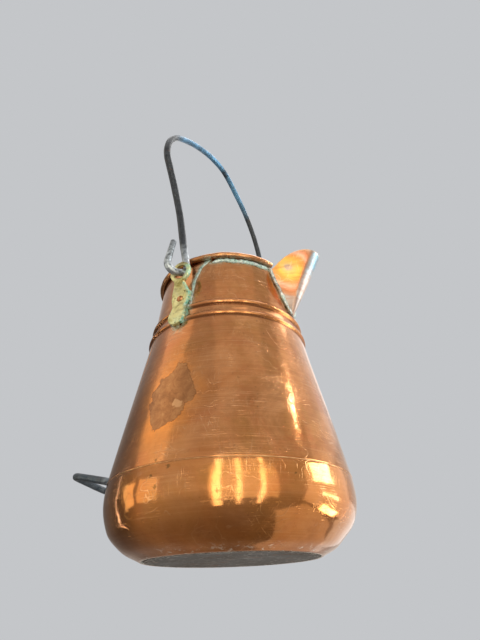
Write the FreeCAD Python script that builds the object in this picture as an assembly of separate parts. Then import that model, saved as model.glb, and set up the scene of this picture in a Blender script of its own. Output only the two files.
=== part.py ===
import FreeCAD, Part
import os, math
from FreeCAD import Vector, Placement, Rotation

# Hand-made copper pouring can with a swinging iron bail, an open beak spout
# and a drop loop at the back.  Millimetres.  +Z up, origin at the centre of
# the underside of the base.  The bail turns about a line along Y.

os.makedirs("parts", exist_ok=True)

# ---------------------------------------------------------------- dimensions
SHEET = 1.3               # copper sheet of the body
BOWL_SHEET = 1.5          # raised lower bowl
SEAM_Z = 46.9             # brazed seam between bowl and cone
SEAM_H = 0.8              # height of the braze line in the seam
BOWL = [(61.9, 0.0), (65.8, 1.9), (71.8, 5.0), (76.8, 9.6), (83.2, 16.2),
        (87.4, 24.0), (89.2, 33.6), (88.4, 46.9)]
CONE_TOP_Z, CONE_TOP_R = 155.0, 66.3
LOW_BEAD_Z, LOW_BEAD_R = 160.0, 65.1      # centre of the swaged bead
UP_BEAD_Z, UP_BEAD_R = 171.5, 62.8
BEAD_R = 2.0
NECK = [(66.3, 155.0), (65.3, 160.0), (63.7, 166.0), (62.6, 171.5),
        (62.0, 176.5), (57.1, 216.9)]
RIM_Z, RIM_R = 220.3, 58.4                # rolled edge centreline
RIM_ROD, RIM_WIRE = 2.56, 1.5             # roll radius, wire radius
BASE_R, BASE_T = 59.6, 1.4

SPOUT_ANG = 4.5           # plan angle of the spout from +X
SPOUT_T = 1.3
LOOP_ANG = 184.5          # plan angle of the rear loop

EAR_Z = 202.0             # bail hinge height
EAR_S = 70.0              # mid-plane of the ear ring, distance from the axis
EAR_T = 3.0
EAR_HOLE = 6.2            # open ring, the hook lies slackly in it
EAR_RING = 9.4
EAR_TURN = 3.5            # plan angle of the line through both rings, from Y

BAIL_ROD = 3.1
BAIL_LEAN = -1.5          # the bail rests a little towards the back
HOOK_OUT, HOOK_IN = 7.5, 7.0   # the two bends of each hook

LOOP_ROD = 3.0
LOOP_AXIS_U, LOOP_AXIS_Z = 92.6, 59.5
LUG_IN, LUG_OUT = 3.3, 5.0


def export(shape, name):
    shape = shape.removeSplitter() if shape.ShapeType != "Compound" else shape
    shape.exportStep("parts/%s.step" % name)
    sol = shape.Solids
    print("%-22s solids %d  volume %9.1f  valid %s" % (
        name, len(sol), shape.Volume, shape.isValid()))


def rz_point(r, z):
    return Vector(r, 0, z)


def revolve_face(edges, ang=360.0, start=0.0):
    wire = Part.Wire(Part.__sortEdges__(edges))
    face = Part.Face(wire)
    sh = face.revolve(Vector(0, 0, 0), Vector(0, 0, 1), ang)
    if start:
        sh.rotate(Vector(0, 0, 0), Vector(0, 0, 1), start)
    return sh


def line(a, b):
    return Part.makeLine(Vector(*a), Vector(*b))


def bspline(pts):
    c = Part.BSplineCurve()
    c.interpolate([rz_point(r, z) for r, z in pts])
    return c.toShape()


def offset_pts(pts, d):
    """Move a (r, z) polyline to its left by d, along the local normal."""
    out = []
    for i, (r, z) in enumerate(pts):
        a = pts[max(i - 1, 0)]
        b = pts[min(i + 1, len(pts) - 1)]
        tr, tz = b[0] - a[0], b[1] - a[1]
        n = math.hypot(tr, tz)
        out.append((r - tz / n * d, z + tr / n * d))
    return out


def first_solid(shape):
    return max(shape.Solids, key=lambda s: s.Volume)


# ------------------------------------------------------------- lower bowl
bo = BOWL[:-1] + [(BOWL[-1][0] + 0.0, SEAM_Z - SEAM_H / 2)]
bi = offset_pts(bo, BOWL_SHEET)
bi[0] = (BOWL[0][0] - 1.0, 0.0)
bi[1] = (bo[1][0] - 1.6, BASE_T + 1.2)
bi[-1] = (bo[-1][0] - BOWL_SHEET, bo[-1][1])
BI0 = bi[0][0]
bowl_edges = [bspline(bo),
              Part.makeLine(rz_point(*bo[-1]), rz_point(*bi[-1])),
              bspline([(BI0, BASE_T)] + bi[1:]),
              Part.makeLine(rz_point(BI0, BASE_T), rz_point(BI0, 0)),
              Part.makeLine(rz_point(BI0, 0), rz_point(*bo[0]))]
lower_bowl = revolve_face(bowl_edges)

# base disc soldered flush inside the turned edge of the bowl
base_disc = Part.makeCylinder(BASE_R, BASE_T)
base_solder = Part.makeCylinder(BI0, BASE_T - 0.25, Vector(0, 0, 0.15)).cut(
    Part.makeCylinder(BASE_R, BASE_T + 1, Vector(0, 0, -0.2)))

# ------------------------------------------------------------- upper body
r0 = BOWL[-1][0]
z_low = SEAM_Z + SEAM_H / 2
out_pts = [(r0 - 0.1, z_low)] + NECK
in_pts = [(r - SHEET, z) for r, z in out_pts]
ue = []
for seq in (out_pts, in_pts):
    for a, b in zip(seq[:-1], seq[1:]):
        ue.append(Part.makeLine(rz_point(*a), rz_point(*b)))
ue.append(Part.makeLine(rz_point(*out_pts[0]), rz_point(*in_pts[0])))
ue.append(Part.makeLine(rz_point(*out_pts[-1]), rz_point(*in_pts[-1])))
upper = revolve_face(ue)


def torus(R, z, r):
    return Part.makeTorus(R, r, Vector(0, 0, z))


beads = [torus(LOW_BEAD_R, LOW_BEAD_Z, BEAD_R), torus(UP_BEAD_R, UP_BEAD_Z, BEAD_R)]
# solid of revolution filling everything inside the outer skin (for trimming)
core_e = [Part.makeLine(rz_point(*a), rz_point(*b)) for a, b in zip(out_pts[:-1], out_pts[1:])]
core_e += [Part.makeLine(rz_point(0, out_pts[0][1]), rz_point(*out_pts[0])),
           Part.makeLine(rz_point(0, out_pts[-1][1]), rz_point(*out_pts[-1])),
           Part.makeLine(rz_point(0, out_pts[0][1]), rz_point(0, out_pts[-1][1]))]
core = revolve_face(core_e)
in_e = [Part.makeLine(rz_point(*a), rz_point(*b)) for a, b in zip(in_pts[:-1], in_pts[1:])]
in_e += [Part.makeLine(rz_point(0, in_pts[0][1]), rz_point(*in_pts[0])),
         Part.makeLine(rz_point(0, in_pts[-1][1]), rz_point(*in_pts[-1])),
         Part.makeLine(rz_point(0, in_pts[0][1]), rz_point(0, in_pts[-1][1]))]
hollow = revolve_face(in_e)
core_beaded = core.fuse(beads)
# swaged beads: raised outside, open groove behind
upper = upper.fuse([b.cut(hollow) for b in beads])
groove = [torus(LOW_BEAD_R, LOW_BEAD_Z, BEAD_R - 1.1), torus(UP_BEAD_R, UP_BEAD_Z, BEAD_R - 1.1)]
upper = first_solid(upper)


def rin(z):
    """outer skin radius of the upper body, without the beads"""
    for (ra, za), (rb, zb) in zip(out_pts[:-1], out_pts[1:]):
        if za <= z <= zb:
            return ra + (rb - ra) * (z - za) / (zb - za)
    return out_pts[-1][0]


# ------------------------------------------------------------------ spout
def spout_wz(z):
    tab = [(175.0, 0.9), (179.5, 3.6), (186.2, 7.6), (190.1, 9.9), (197.8, 12.8),
           (202.4, 15.0), (210.2, 17.3), (216.0, 18.7), (232.0, 20.8)]
    for (za, wa), (zb, wb) in zip(tab[:-1], tab[1:]):
        if za <= z <= zb:
            return wa + (wb - wa) * (z - za) / (zb - za)
    return tab[-1][1]


def spout_ur(z):
    return 62.9 + (z - 175.2) * (92.6 - 62.9) / (229.3 - 175.2)


def spout_wire(z, shrink):
    w = spout_wz(z) - shrink
    R = spout_ur(z) - shrink * 1.25
    w = max(w, 0.35)
    rho = 0.6 * w
    u0 = 40.0
    c0 = max(R - rho, u0 + 2)
    # straight sides run from a fixed half width at u = 53 to the nose circle
    um = 53.0
    dx, dy = um - c0, w
    dd = math.hypot(dx, dy)
    al = math.atan2(dy, dx) - math.acos(min(0.999, rho / dd))
    tx, ty = c0 + rho * math.cos(al), rho * math.sin(al)
    k = (ty - w) / (tx - um)
    w0 = w + k * (u0 - um)
    pA, pB = Vector(u0, w0, z), Vector(tx, ty, z)
    pC, pD = Vector(tx, -ty, z), Vector(u0, -w0, z)
    nose = Part.Arc(pB, Vector(c0 + rho, 0, z), pC).toShape()
    return Part.Wire([Part.makeLine(pD, pA), Part.makeLine(pA, pB), nose,
                      Part.makeLine(pC, pD)])


ZS = [176.4, 179.5, 186.2, 190.1, 197.8, 205.0, 213.0, 222.0, 233.0]
sp_out = Part.makeLoft([spout_wire(z, 0.0) for z in ZS], True, False)
ZSI = [179.6, 183.0, 186.8, 191.5, 198.8, 205.5, 213.0, 222.0, 233.5]
sp_in = Part.makeLoft([spout_wire(z, SPOUT_T) for z in ZSI], True, False)

# side-view line of the lip: rises from the rim, then runs level to the tip
LIP = [(30.0, 216.6), (54.0, 216.2), (57.5, 218.6), (64.0, 224.2), (70.6, 228.0),
       (77.0, 230.1), (85.5, 230.2), (91.0, 229.6), (104.0, 228.0)]
lip_c = Part.BSplineCurve()
lip_c.interpolate([Vector(u, -60, z) for u, z in LIP])
lip_e = lip_c.toShape()
cap = Part.Face(Part.Wire([lip_e,
                           line((104, -60, 228.0), (104, -60, 260)),
                           line((104, -60, 260), (30, -60, 260)),
                           line((30, -60, 260), (30, -60, 216.6))])).extrude(Vector(0, 120, 0))
spin = lambda sh, a: sh.copy().rotated(Vector(0, 0, 0), Vector(0, 0, 1), a)
spout = sp_out.cut(sp_in).cut(cap)
# the spout butts against the outside of the neck
trim_h = Part.makeCylinder(57.1, 30, Vector(0, 0, 216.9))
spout = spout.cut(core_beaded).cut(trim_h)
spout = first_solid(spout)
sp_hole = sp_in.cut(cap)

upper = upper.cut(spin(sp_in, SPOUT_ANG))
upper = first_solid(upper)
spout_r = spin(spout, SPOUT_ANG)

# vertical brazed seam of the rolled cone, left of the near ear
SIDE_SEAM_ANG = 241.0
seam_box = Part.makeBox(60, 1.1, 240, Vector(40, -0.55, 0))
seam_box = spin(seam_box, SIDE_SEAM_ANG)
side_seam = upper.common(seam_box)
side_seam = first_solid(side_seam)
upper = first_solid(upper.cut(seam_box))

bowl_seam = Part.makeCylinder(r0 + 0.12, SEAM_H, Vector(0, 0, SEAM_Z - SEAM_H / 2)).cut(
    Part.makeCylinder(r0 - BOWL_SHEET, SEAM_H + 2, Vector(0, 0, SEAM_Z - SEAM_H / 2 - 1)))

# --------------------------------------------------------------- rolled rim
RIM_GAP = 18.6            # half angle left open at the spout


def arc_torus(r, rin_, a0, a1):
    c = Part.Circle(Vector(RIM_R, 0, RIM_Z), Vector(0, 1, 0), r).toShape()
    f = Part.Face(Part.Wire([c]))
    if rin_:
        c2 = Part.Circle(Vector(RIM_R, 0, RIM_Z), Vector(0, 1, 0), rin_).toShape()
        f = Part.makeFace([Part.Wire([c]), Part.Wire([c2])], "Part::FaceMakerBullseye")
    s = f.revolve(Vector(0, 0, 0), Vector(0, 0, 1), a1 - a0)
    s.rotate(Vector(0, 0, 0), Vector(0, 0, 1), a0)
    return s


rolled_rim = arc_torus(RIM_ROD, RIM_WIRE, SPOUT_ANG + RIM_GAP, SPOUT_ANG + 360 - RIM_GAP)
rim_wire = arc_torus(RIM_WIRE, 0, SPOUT_ANG + RIM_GAP + 0.6, SPOUT_ANG + 360 - RIM_GAP - 0.6)
# short web that carries the roll down onto the neck
web = Part.makeCylinder(57.1, 3.0, Vector(0, 0, 216.9)).cut(
    Part.makeCylinder(57.1 - SHEET, 5.0, Vector(0, 0, 216)))
gapw = spin(Part.makeBox(100, 200, 60, Vector(0, -100, 200)), 0)
wedge_pts = [Vector(0, 0, 200), Vector(120 * math.cos(math.radians(RIM_GAP)), -120 * math.sin(math.radians(RIM_GAP)), 200),
             Vector(140, 0, 200),
             Vector(120 * math.cos(math.radians(RIM_GAP)), 120 * math.sin(math.radians(RIM_GAP)), 200)]
wedge = Part.Face(Part.makePolygon(wedge_pts + [wedge_pts[0]])).extrude(Vector(0, 0, 60))
wedge = spin(wedge, SPOUT_ANG)
web = web.cut(wedge).cut(torus(RIM_R, RIM_Z, RIM_WIRE + 0.2))
rolled_rim = rolled_rim.fuse(web)
rolled_rim = first_solid(rolled_rim.cut(spout_r))
rim_wire = first_solid(rim_wire)

# solder laid under the roll, both sides of the spout
rs_face = [(57.1, 216.9), (59.9, 216.7), (59.3, 215.2), (57.55, 213.2)]
rs_e = [Part.makeLine(rz_point(*a), rz_point(*b)) for a, b in zip(rs_face, rs_face[1:] + rs_face[:1])]
rs = []
for a0, a1 in ((SPOUT_ANG - 71, SPOUT_ANG - 21.5), (SPOUT_ANG + 21.5, SPOUT_ANG + 66)):
    s = revolve_face(rs_e, a1 - a0, a0)
    s = s.cut(core).cut(rolled_rim).cut(spin(sp_out, SPOUT_ANG))
    rs.append(first_solid(s))
rim_solder = Part.Compound(rs)

# solder bead laid in the corner between the spout and the neck
SOLDER_R = 1.0


def seam_point(z, sign):
    w = spout_wz(z) + 1.4
    r = rin(z) + 1.18
    return (math.sqrt(r * r - w * w), sign * w, z)


SEAM_ZS = [214.6, 209.0, 202.6, 197.0, 190.6, 184.6, 179.6]
SEAM = ([seam_point(z, 1) for z in SEAM_ZS] + [(rin(175.0) + 1.2, 0.0, 174.75)]
        + [seam_point(z, -1) for z in reversed(SEAM_ZS)])


# --------------------------------------------------------------------- ears
# outline of an ear seen from outside: x across, z up, hinge hole at (0, EAR_Z)
OUT = [(0.0, 155.6), (5.4, 157.2), (7.8, 162.0), (7.2, 168.0), (6.3, 174.0),
       (8.0, 180.5), (8.0, 185.5), (5.4, 190.0), (4.4, 193.0), (4.6, 195.6)]


def ear_mid(z):
    """the plate sits a little to one side of its ring"""
    tab = [(150.0, -4.0), (184.0, -3.8), (190.0, -2.0), (195.6, -0.4)]
    for (za, xa), (zb, xb) in zip(tab[:-1], tab[1:]):
        if za <= z <= zb:
            return xa + (xb - xa) * (z - za) / (zb - za)
    return 0.0


def ear_outline(grow):
    pts = [Vector(x + (grow if x > 0.1 else 0), -120, z - (grow if z < 160 else 0)) for x, z in OUT]
    right = [Vector(p.x + ear_mid(p.z), p.y, p.z) for p in pts]
    left = [Vector(-p.x + ear_mid(p.z), p.y, p.z) for p in reversed(pts[1:])]
    c = Part.BSplineCurve()
    c.interpolate(left + right)
    e = c.toShape()
    top = Part.makeLine(right[-1], left[0])
    f = Part.Face(Part.Wire([e, top]))
    s = f.extrude(Vector(0, 80, 0))
    if grow == 0:
        s = s.fuse(Part.makeCylinder(EAR_RING, 80, Vector(0, -120, EAR_Z), Vector(0, 1, 0)))
    return s


# side view of an ear (distance from the axis, height): foot, arm, upstand
th = 3.6
side = [(48.0, 150.0), (rin(156.0) + th + 0.2, 150.0), (rin(160) + th, 162.0), (rin(176.5) + th, 176.5),
        (rin(184.2) + th, 184.2), (EAR_S + EAR_T / 2, 193.6), (EAR_S + EAR_T / 2, 217.0),
        (EAR_S - EAR_T / 2, 217.0), (EAR_S - EAR_T / 2, 194.6), (62.4, 187.4), (48.0, 187.4)]
sv = [Vector(-20, -s, z) for s, z in side]
ear_side = Part.Face(Part.makePolygon(sv + [sv[0]])).extrude(Vector(40, 0, 0))
hole = Part.makeCylinder(EAR_HOLE, 120, Vector(0, -120, EAR_Z), Vector(0, 1, 0))
ear = ear_side.common(ear_outline(0)).cut(core_beaded).cut(hole)
ear = first_solid(ear)
# solder skirt round the foot of the ear
sol_o = [(r + 1.3, z) for r, z in out_pts[1:]]
so_e = [Part.makeLine(rz_point(*a), rz_point(*b)) for a, b in zip(sol_o[:-1], sol_o[1:])]
so_e += [Part.makeLine(rz_point(0, sol_o[0][1]), rz_point(*sol_o[0])),
         Part.makeLine(rz_point(0, sol_o[-1][1]), rz_point(*sol_o[-1])),
         Part.makeLine(rz_point(0, sol_o[0][1]), rz_point(0, sol_o[-1][1]))]
sol_skin = revolve_face(so_e)
low_half = Part.makeBox(60, 60, 9.0, Vector(-30, -100, 177.8))
ear_solder = sol_skin.common(ear_outline(2.0)).common(low_half).cut(core_beaded)
ear_solder = ear_solder.cut(ear_side.common(ear_outline(0)))

# rivets: domed head outside, flat burr inside
RIV_Z = (180.6, 165.4)


def rivet(z0):
    x, z = ear_mid(z0), z0
    r = math.sqrt(max(rin(z) ** 2 - x * x, 1))
    outer = rin(z) + th
    shank = Part.makeCylinder(1.8, outer - r + SHEET + 1.0, Vector(x, -outer, z), Vector(0, 1, 0))
    dome = Part.makeSphere(4.1, Vector(x, -outer + 2.6, z)).common(
        Part.makeCylinder(3.2, 3, Vector(x, -outer - 2.9, z), Vector(0, 1, 0)))
    burr = Part.makeCylinder(3.3, 1.2, Vector(x, -(r - SHEET), z), Vector(0, 1, 0))
    return shank, dome, burr


riv_solids, holes = [], []
for z0 in RIV_Z:
    shank, dome, burr = rivet(z0)
    holes.append(shank)
    one = shank.fuse([dome, burr])
    riv_solids.append(one)
ear_clear = ear
for h in holes:
    ear_clear = ear_clear.cut(h)
ear_near = first_solid(ear_clear)
riv_solids = [first_solid(s.cut(ear_near)) for s in riv_solids]
ear_solder = first_solid(ear_solder) if len(ear_solder.Solids) == 1 else ear_solder
mirror_y = lambda sh: sh.mirror(Vector(0, 0, 0), Vector(0, 1, 0))
up = upper
for h in holes:
    up = up.cut(spin(h, EAR_TURN)).cut(spin(mirror_y(h), EAR_TURN))
# burrs sit against the curved inside of the neck
riv_near, riv_far = [], []
for s in riv_solids:
    riv_near.append(first_solid(spin(s, EAR_TURN).cut(up)))
    riv_far.append(first_solid(spin(mirror_y(s), EAR_TURN).cut(up)))
upper = first_solid(up)
ear_far = spin(mirror_y(ear_near), EAR_TURN)
ear_solder_far = spin(mirror_y(ear_solder), EAR_TURN)
ear_near = spin(ear_near, EAR_TURN)
ear_solder = spin(ear_solder, EAR_TURN)

# --------------------------------------------------------------------- bail
# centreline points (x, s, z), s measured towards the near ear (-Y); each
# hook comes down inside its ring, slants through it and turns up outside
H = EAR_Z


def rounded_path(pts, radii, to3d):
    """straight runs joined by tangent arcs"""
    edges = []
    P = [to3d(p) for p in pts]
    prev = P[0]
    for i in range(1, len(P) - 1):
        a, b, c = P[i - 1], P[i], P[i + 1]
        u = (a - b).normalize()
        v = (c - b).normalize()
        cosang = max(-1.0, min(1.0, u.dot(v)))
        half = math.acos(cosang) / 2.0
        turn = math.pi - 2 * half
        lim = min((a - b).Length, (c - b).Length)
        cut = radii[i - 1] / math.tan(half) if radii[i - 1] else 0.45 * lim
        cut = min(cut, 0.49 * lim if radii[i - 1] is None else 0.9 * lim)
        t1 = b + u * cut
        t2 = b + v * cut
        bis = (u + v).normalize()
        rad = cut * math.tan(half)
        mid = b + bis * (rad / math.sin(half) - rad)
        if (t1 - prev).Length > 1e-6:
            edges.append(Part.makeLine(prev, t1))
        edges.append(Part.Arc(t1, mid, t2).toShape())
        prev = t2
    edges.append(Part.makeLine(prev, P[-1]))
    return Part.Wire(edges)


seam_w = rounded_path(SEAM, [None] * (len(SEAM) - 2), lambda p: Vector(*p))
se0 = seam_w.Edges[0]
seam_p = Part.Wire([Part.Circle(se0.valueAt(se0.FirstParameter), se0.tangentAt(se0.FirstParameter), SOLDER_R).toShape()])
spout_solder = first_solid(seam_w.makePipeShell([seam_p], True, False))
print("solder overlap with neck %.3f with spout %.3f rim %.3f" % (
    spout_solder.common(core_beaded).Volume, spout_solder.common(spout).Volume,
    spin(spout_solder, SPOUT_ANG).common(rolled_rim).Volume + spin(spout_solder, SPOUT_ANG).common(rim_solder).Volume))
spout_solder = spin(spout_solder, SPOUT_ANG)

BAIL = [(-2.8, 77.0, 231.0), (-7.2, 82.0, 197.5), (3.2, 64.6, 204.0), (-1.9, 65.0, 236.0),
        (-3.6, 67.2, 268.0), (-4.6, 75.4, 298.5), (-5.4, 88.6, 335.5), (-5.2, 84.6, 356.5),
        (-4.5, 74.0, 373.5), (-3.2, 52.0, 389.0), (-1.5, 24.0, 402.0), (0.4, -6.0, 404.0),
        (1.6, -27.0, 388.5), (3.2, -52.0, 364.5), (4.3, -70.0, 331.0), (4.7, -76.5, 298.0),
        (4.2, -73.0, 264.0), (1.6, -66.0, 236.0), (3.2, -64.6, 204.0), (-7.2, -82.0, 197.5),
        (-2.8, -77.0, 231.0)]
BRAD = [HOOK_OUT, HOOK_IN] + [None] * (len(BAIL) - 6) + [HOOK_IN, HOOK_OUT]
wire = rounded_path(BAIL, BRAD, lambda p: Vector(p[0], -p[1], p[2]))
start = wire.Edges[0]
p0 = start.valueAt(start.FirstParameter)
t0 = start.tangentAt(start.FirstParameter)
prof = Part.Wire([Part.Circle(p0, t0, BAIL_ROD).toShape()])
bail = wire.makePipeShell([prof], True, False)
bail = first_solid(bail) if bail.Solids else Part.Solid(bail)
bail.rotate(Vector(0, 0, H), Vector(0, 1, 0), BAIL_LEAN)
bail.rotate(Vector(0, 0, 0), Vector(0, 0, 1), EAR_TURN)
print("bail length %.1f  volume ratio %.4f" % (
    wire.Length, bail.Volume / (wire.Length * math.pi * BAIL_ROD ** 2)))

# ---------------------------------------------------------------- rear loop
# local frame: u outwards, w across, z up; then turned to LOOP_ANG
AU, AZ = LOOP_AXIS_U, LOOP_AXIS_Z
tilt = math.radians(11.0)


def loop3(p):
    d, w, lift = p        # distance from the hinge line, across, out-of-plane
    return Vector(AU + d * math.cos(tilt) - lift * math.sin(tilt), w,
                  AZ + d * math.sin(tilt) + lift * math.cos(tilt))


LOOP = [(0.0, -11.0, 0.0), (0.0, -28.5, 0.0), (26.0, -28.0, -1.6), (51.0, -22.0, -3.2),
        (51.5, 22.0, 3.2), (26.0, 28.0, 1.6), (0.0, 28.5, 0.0), (0.0, 11.0, 0.0)]
LRAD = [6.0, None, 11.0, 11.0, None, 6.0]
lw = rounded_path(LOOP, LRAD, loop3)
e0 = lw.Edges[0]
lp = Part.Wire([Part.Circle(e0.valueAt(e0.FirstParameter), e0.tangentAt(e0.FirstParameter), LOOP_ROD).toShape()])
loop = lw.makePipeShell([lp], True, False)
loop = first_solid(loop)
print("loop length %.1f  volume ratio %.4f" % (
    lw.Length, loop.Volume / (lw.Length * math.pi * LOOP_ROD ** 2)))


# lugs: a strap folded into an eye round the loop's turned-in end
def lug(w0, w1):
    foot_t = 1.7
    pts = [(r + foot_t, z) for r, z in out_pts[:2]]
    e = [Part.makeLine(rz_point(*pts[0]), rz_point(*pts[1])),
         Part.makeLine(rz_point(0, pts[0][1]), rz_point(*pts[0])),
         Part.makeLine(rz_point(0, pts[1][1]), rz_point(*pts[1])),
         Part.makeLine(rz_point(0, pts[0][1]), rz_point(0, pts[1][1]))]
    foot = revolve_face(e).common(Part.makeBox(40, w1 - w0, 27.0, Vector(70, w0, AZ - 10.2)))
    eye = Part.makeCylinder(LUG_OUT, w1 - w0, Vector(AU, w0, AZ), Vector(0, 1, 0))
    body = Part.makeBox(AU - 80, w1 - w0, 3.4, Vector(80, w0, AZ + 1.4))
    s = eye.fuse([body, foot])
    s = s.cut(Part.makeCylinder(LUG_IN, w1 - w0 + 4, Vector(AU, w0 - 2, AZ), Vector(0, 1, 0)))
    s = s.cut(core)
    return first_solid(s)


lug_a = lug(-21.0, -13.0)
lug_b = lug(13.0, 21.0)


def lug_rivet(w, z):
    r = rin(z)
    rr = math.sqrt(r * r - w * w)
    ang = math.degrees(math.atan2(w, rr))
    sh = Part.makeCylinder(1.5, 1.7 + SHEET + 1.2, Vector(r - SHEET - 1.0, 0, z), Vector(1, 0, 0))
    dome = Part.makeSphere(3.6, Vector(r - 0.9, 0, z)).common(
        Part.makeCylinder(2.7, 3.0, Vector(r + 1.5, 0, z), Vector(1, 0, 0)))
    burr = Part.makeCylinder(2.8, 1.2, Vector(r - SHEET - 1.1, 0, z), Vector(1, 0, 0))
    for s in (sh, dome, burr):
        s.rotate(Vector(0, 0, 0), Vector(0, 0, 1), ang)
    return sh, dome, burr


lug_riv = []
for w, lg in ((-17.0, "a"), (17.0, "b")):
    sh, dome, burr = lug_rivet(w, AZ + 12.2)
    one = sh.fuse([dome, burr])
    if lg == "a":
        lug_a = first_solid(lug_a.cut(sh))
        one = one.cut(lug_a)
    else:
        lug_b = first_solid(lug_b.cut(sh))
        one = one.cut(lug_b)
    shr = spin(sh, LOOP_ANG)
    upper = first_solid(upper.cut(shr))
    lug_riv.append(first_solid(spin(one, LOOP_ANG).cut(upper)))

rear_loop = spin(loop, LOOP_ANG)
rear_lug_a = spin(lug_a, LOOP_ANG)
rear_lug_b = spin(lug_b, LOOP_ANG)

# ------------------------------------------------------------------- export
export(upper, "upper_body")
export(side_seam, "side_seam_braze")
export(lower_bowl, "lower_bowl")
export(bowl_seam, "bowl_seam_braze")
export(base_disc, "base_disc")
export(base_solder, "base_solder")
export(rolled_rim, "rolled_rim")
export(rim_wire, "rim_wire")
export(rim_solder, "rim_solder")
export(spout_r, "spout")
export(spout_solder, "spout_solder")
export(ear_near, "ear_left")
export(ear_far, "ear_right")
export(Part.Compound(riv_near), "ear_left_rivets")
export(Part.Compound(riv_far), "ear_right_rivets")
export(Part.Compound(ear_solder.Solids), "ear_left_solder")
export(Part.Compound(ear_solder_far.Solids), "ear_right_solder")
export(bail, "bail")
export(rear_loop, "rear_loop")
export(rear_lug_a, "rear_lug_right")
export(rear_lug_b, "rear_lug_left")
export(Part.Compound(lug_riv), "rear_lug_rivets")
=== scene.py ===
import bpy
import bmesh
import math
import numpy as np
from mathutils import Vector, Matrix, noise as mnoise


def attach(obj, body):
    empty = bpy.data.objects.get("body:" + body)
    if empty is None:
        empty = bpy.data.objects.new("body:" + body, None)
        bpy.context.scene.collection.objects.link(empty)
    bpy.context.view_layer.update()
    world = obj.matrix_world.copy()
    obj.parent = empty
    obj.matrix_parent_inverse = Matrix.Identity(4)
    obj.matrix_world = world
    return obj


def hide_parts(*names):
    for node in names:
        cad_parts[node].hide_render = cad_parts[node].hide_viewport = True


# A hand-made copper pouring can: the looks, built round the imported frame.
# Lengths in the tables below are millimetres and are scaled once, in make().

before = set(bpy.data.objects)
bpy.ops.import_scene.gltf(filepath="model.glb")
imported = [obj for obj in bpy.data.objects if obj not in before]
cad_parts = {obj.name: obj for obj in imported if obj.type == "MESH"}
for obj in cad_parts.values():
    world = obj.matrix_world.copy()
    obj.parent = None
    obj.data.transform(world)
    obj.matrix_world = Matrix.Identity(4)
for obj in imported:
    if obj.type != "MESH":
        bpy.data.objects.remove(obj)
sc = bpy.context.scene
S = 0.001
SP = 4.5                                  # plan angle of the spout
rng = np.random.RandomState(11)

# ------------------------------------------------------------------ profiles
BOWL = [(61.9, 0.0), (65.8, 1.9), (71.8, 5.0), (76.8, 9.6), (83.2, 16.2),
        (87.4, 24.0), (89.2, 33.6), (88.4, 46.5)]
OUTP = [(88.3, 47.3), (66.3, 155.0), (65.3, 160.0), (63.7, 166.0), (62.6, 171.5),
        (62.0, 176.5), (57.1, 216.9)]


def cubic(xs, ys):
    """natural cubic spline through the points, as a function"""
    xs, ys = np.asarray(xs, float), np.asarray(ys, float)
    n = len(xs)
    h = np.diff(xs)
    A = np.zeros((n, n))
    b = np.zeros(n)
    A[0, 0] = A[-1, -1] = 1
    for i in range(1, n - 1):
        A[i, i - 1], A[i, i], A[i, i + 1] = h[i - 1], 2 * (h[i - 1] + h[i]), h[i]
        b[i] = 6 * ((ys[i + 1] - ys[i]) / h[i] - (ys[i] - ys[i - 1]) / h[i - 1])
    m = np.linalg.solve(A, b)

    def f(x):
        x = np.asarray(x, float)
        i = np.clip(np.searchsorted(xs, x) - 1, 0, n - 2)
        t0, t1 = xs[i + 1] - x, x - xs[i]
        return (m[i] * t0 ** 3 + m[i + 1] * t1 ** 3) / (6 * h[i]) + \
            (ys[i] / h[i] - m[i] * h[i] / 6) * t0 + (ys[i + 1] / h[i] - m[i + 1] * h[i] / 6) * t1
    return f


def curve2(pts, n):
    P = np.array(pts, float)
    d = np.r_[0, np.cumsum(np.hypot(*np.diff(P, axis=0).T))]
    t = np.linspace(0, d[-1], n)
    return np.c_[cubic(d, P[:, 0])(t), cubic(d, P[:, 1])(t)]


def rbase(z):
    return np.interp(z, [p[1] for p in OUTP], [p[0] for p in OUTP])


def smax(a, b, k):
    h = np.clip(k - np.abs(a - b), 0, None) / k
    return np.maximum(a, b) + h * h * k * 0.25


def rbody(z):
    z = np.asarray(z, float)
    r = rbase(z)
    for R, c in ((65.1, 160.0), (62.8, 171.5)):
        q = 4.0 - (z - c) ** 2
        b = R + np.where(q > 0, np.sqrt(np.clip(q, 0, None)), -3 * (np.abs(z - c) - 2.0))
        r = smax(r, b, 0.9)
    return r


DW = [(int(rng.randint(2, 15)), rng.uniform(22, 90), rng.uniform(0, 6.28),
       rng.uniform(0, 6.28)) for _ in range(14)]


def dent(th, z):
    """small unevenness of the hand-worked sheet, mm"""
    t = np.radians(th)
    s = 0.0
    for n, l, p, q in DW:
        s = s + 0.34 / (n + 1.5) * np.sin(n * t + p + 0.5 * np.sin(z / l)) * np.cos(6.28 * z / (l * 2.2) + q)
    fade = np.interp(z, [0, 6, 30, 47, 60, 145, 158, 223], [0.3, 0.6, 1, .8, 1, 1, .3, .25])
    # the bowl was beaten a little fuller low down on its left side
    full = np.exp(-((z - 11.0) / 7.5) ** 2) * np.exp(-(((th + 292.0) % 360.0 - 180.0) / 40.0) ** 2)
    return s * fade + 2.8 * full


def nz(x, y, z):
    return mnoise.noise(Vector((x, y, z)))


# ---------------------------------------------------------------- materials
def C(r, g, b):
    def f(v):
        v /= 255.0
        return v / 12.92 if v <= 0.04045 else ((v + 0.055) / 1.055) ** 2.4
    return (f(r), f(g), f(b), 1.0)


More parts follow.
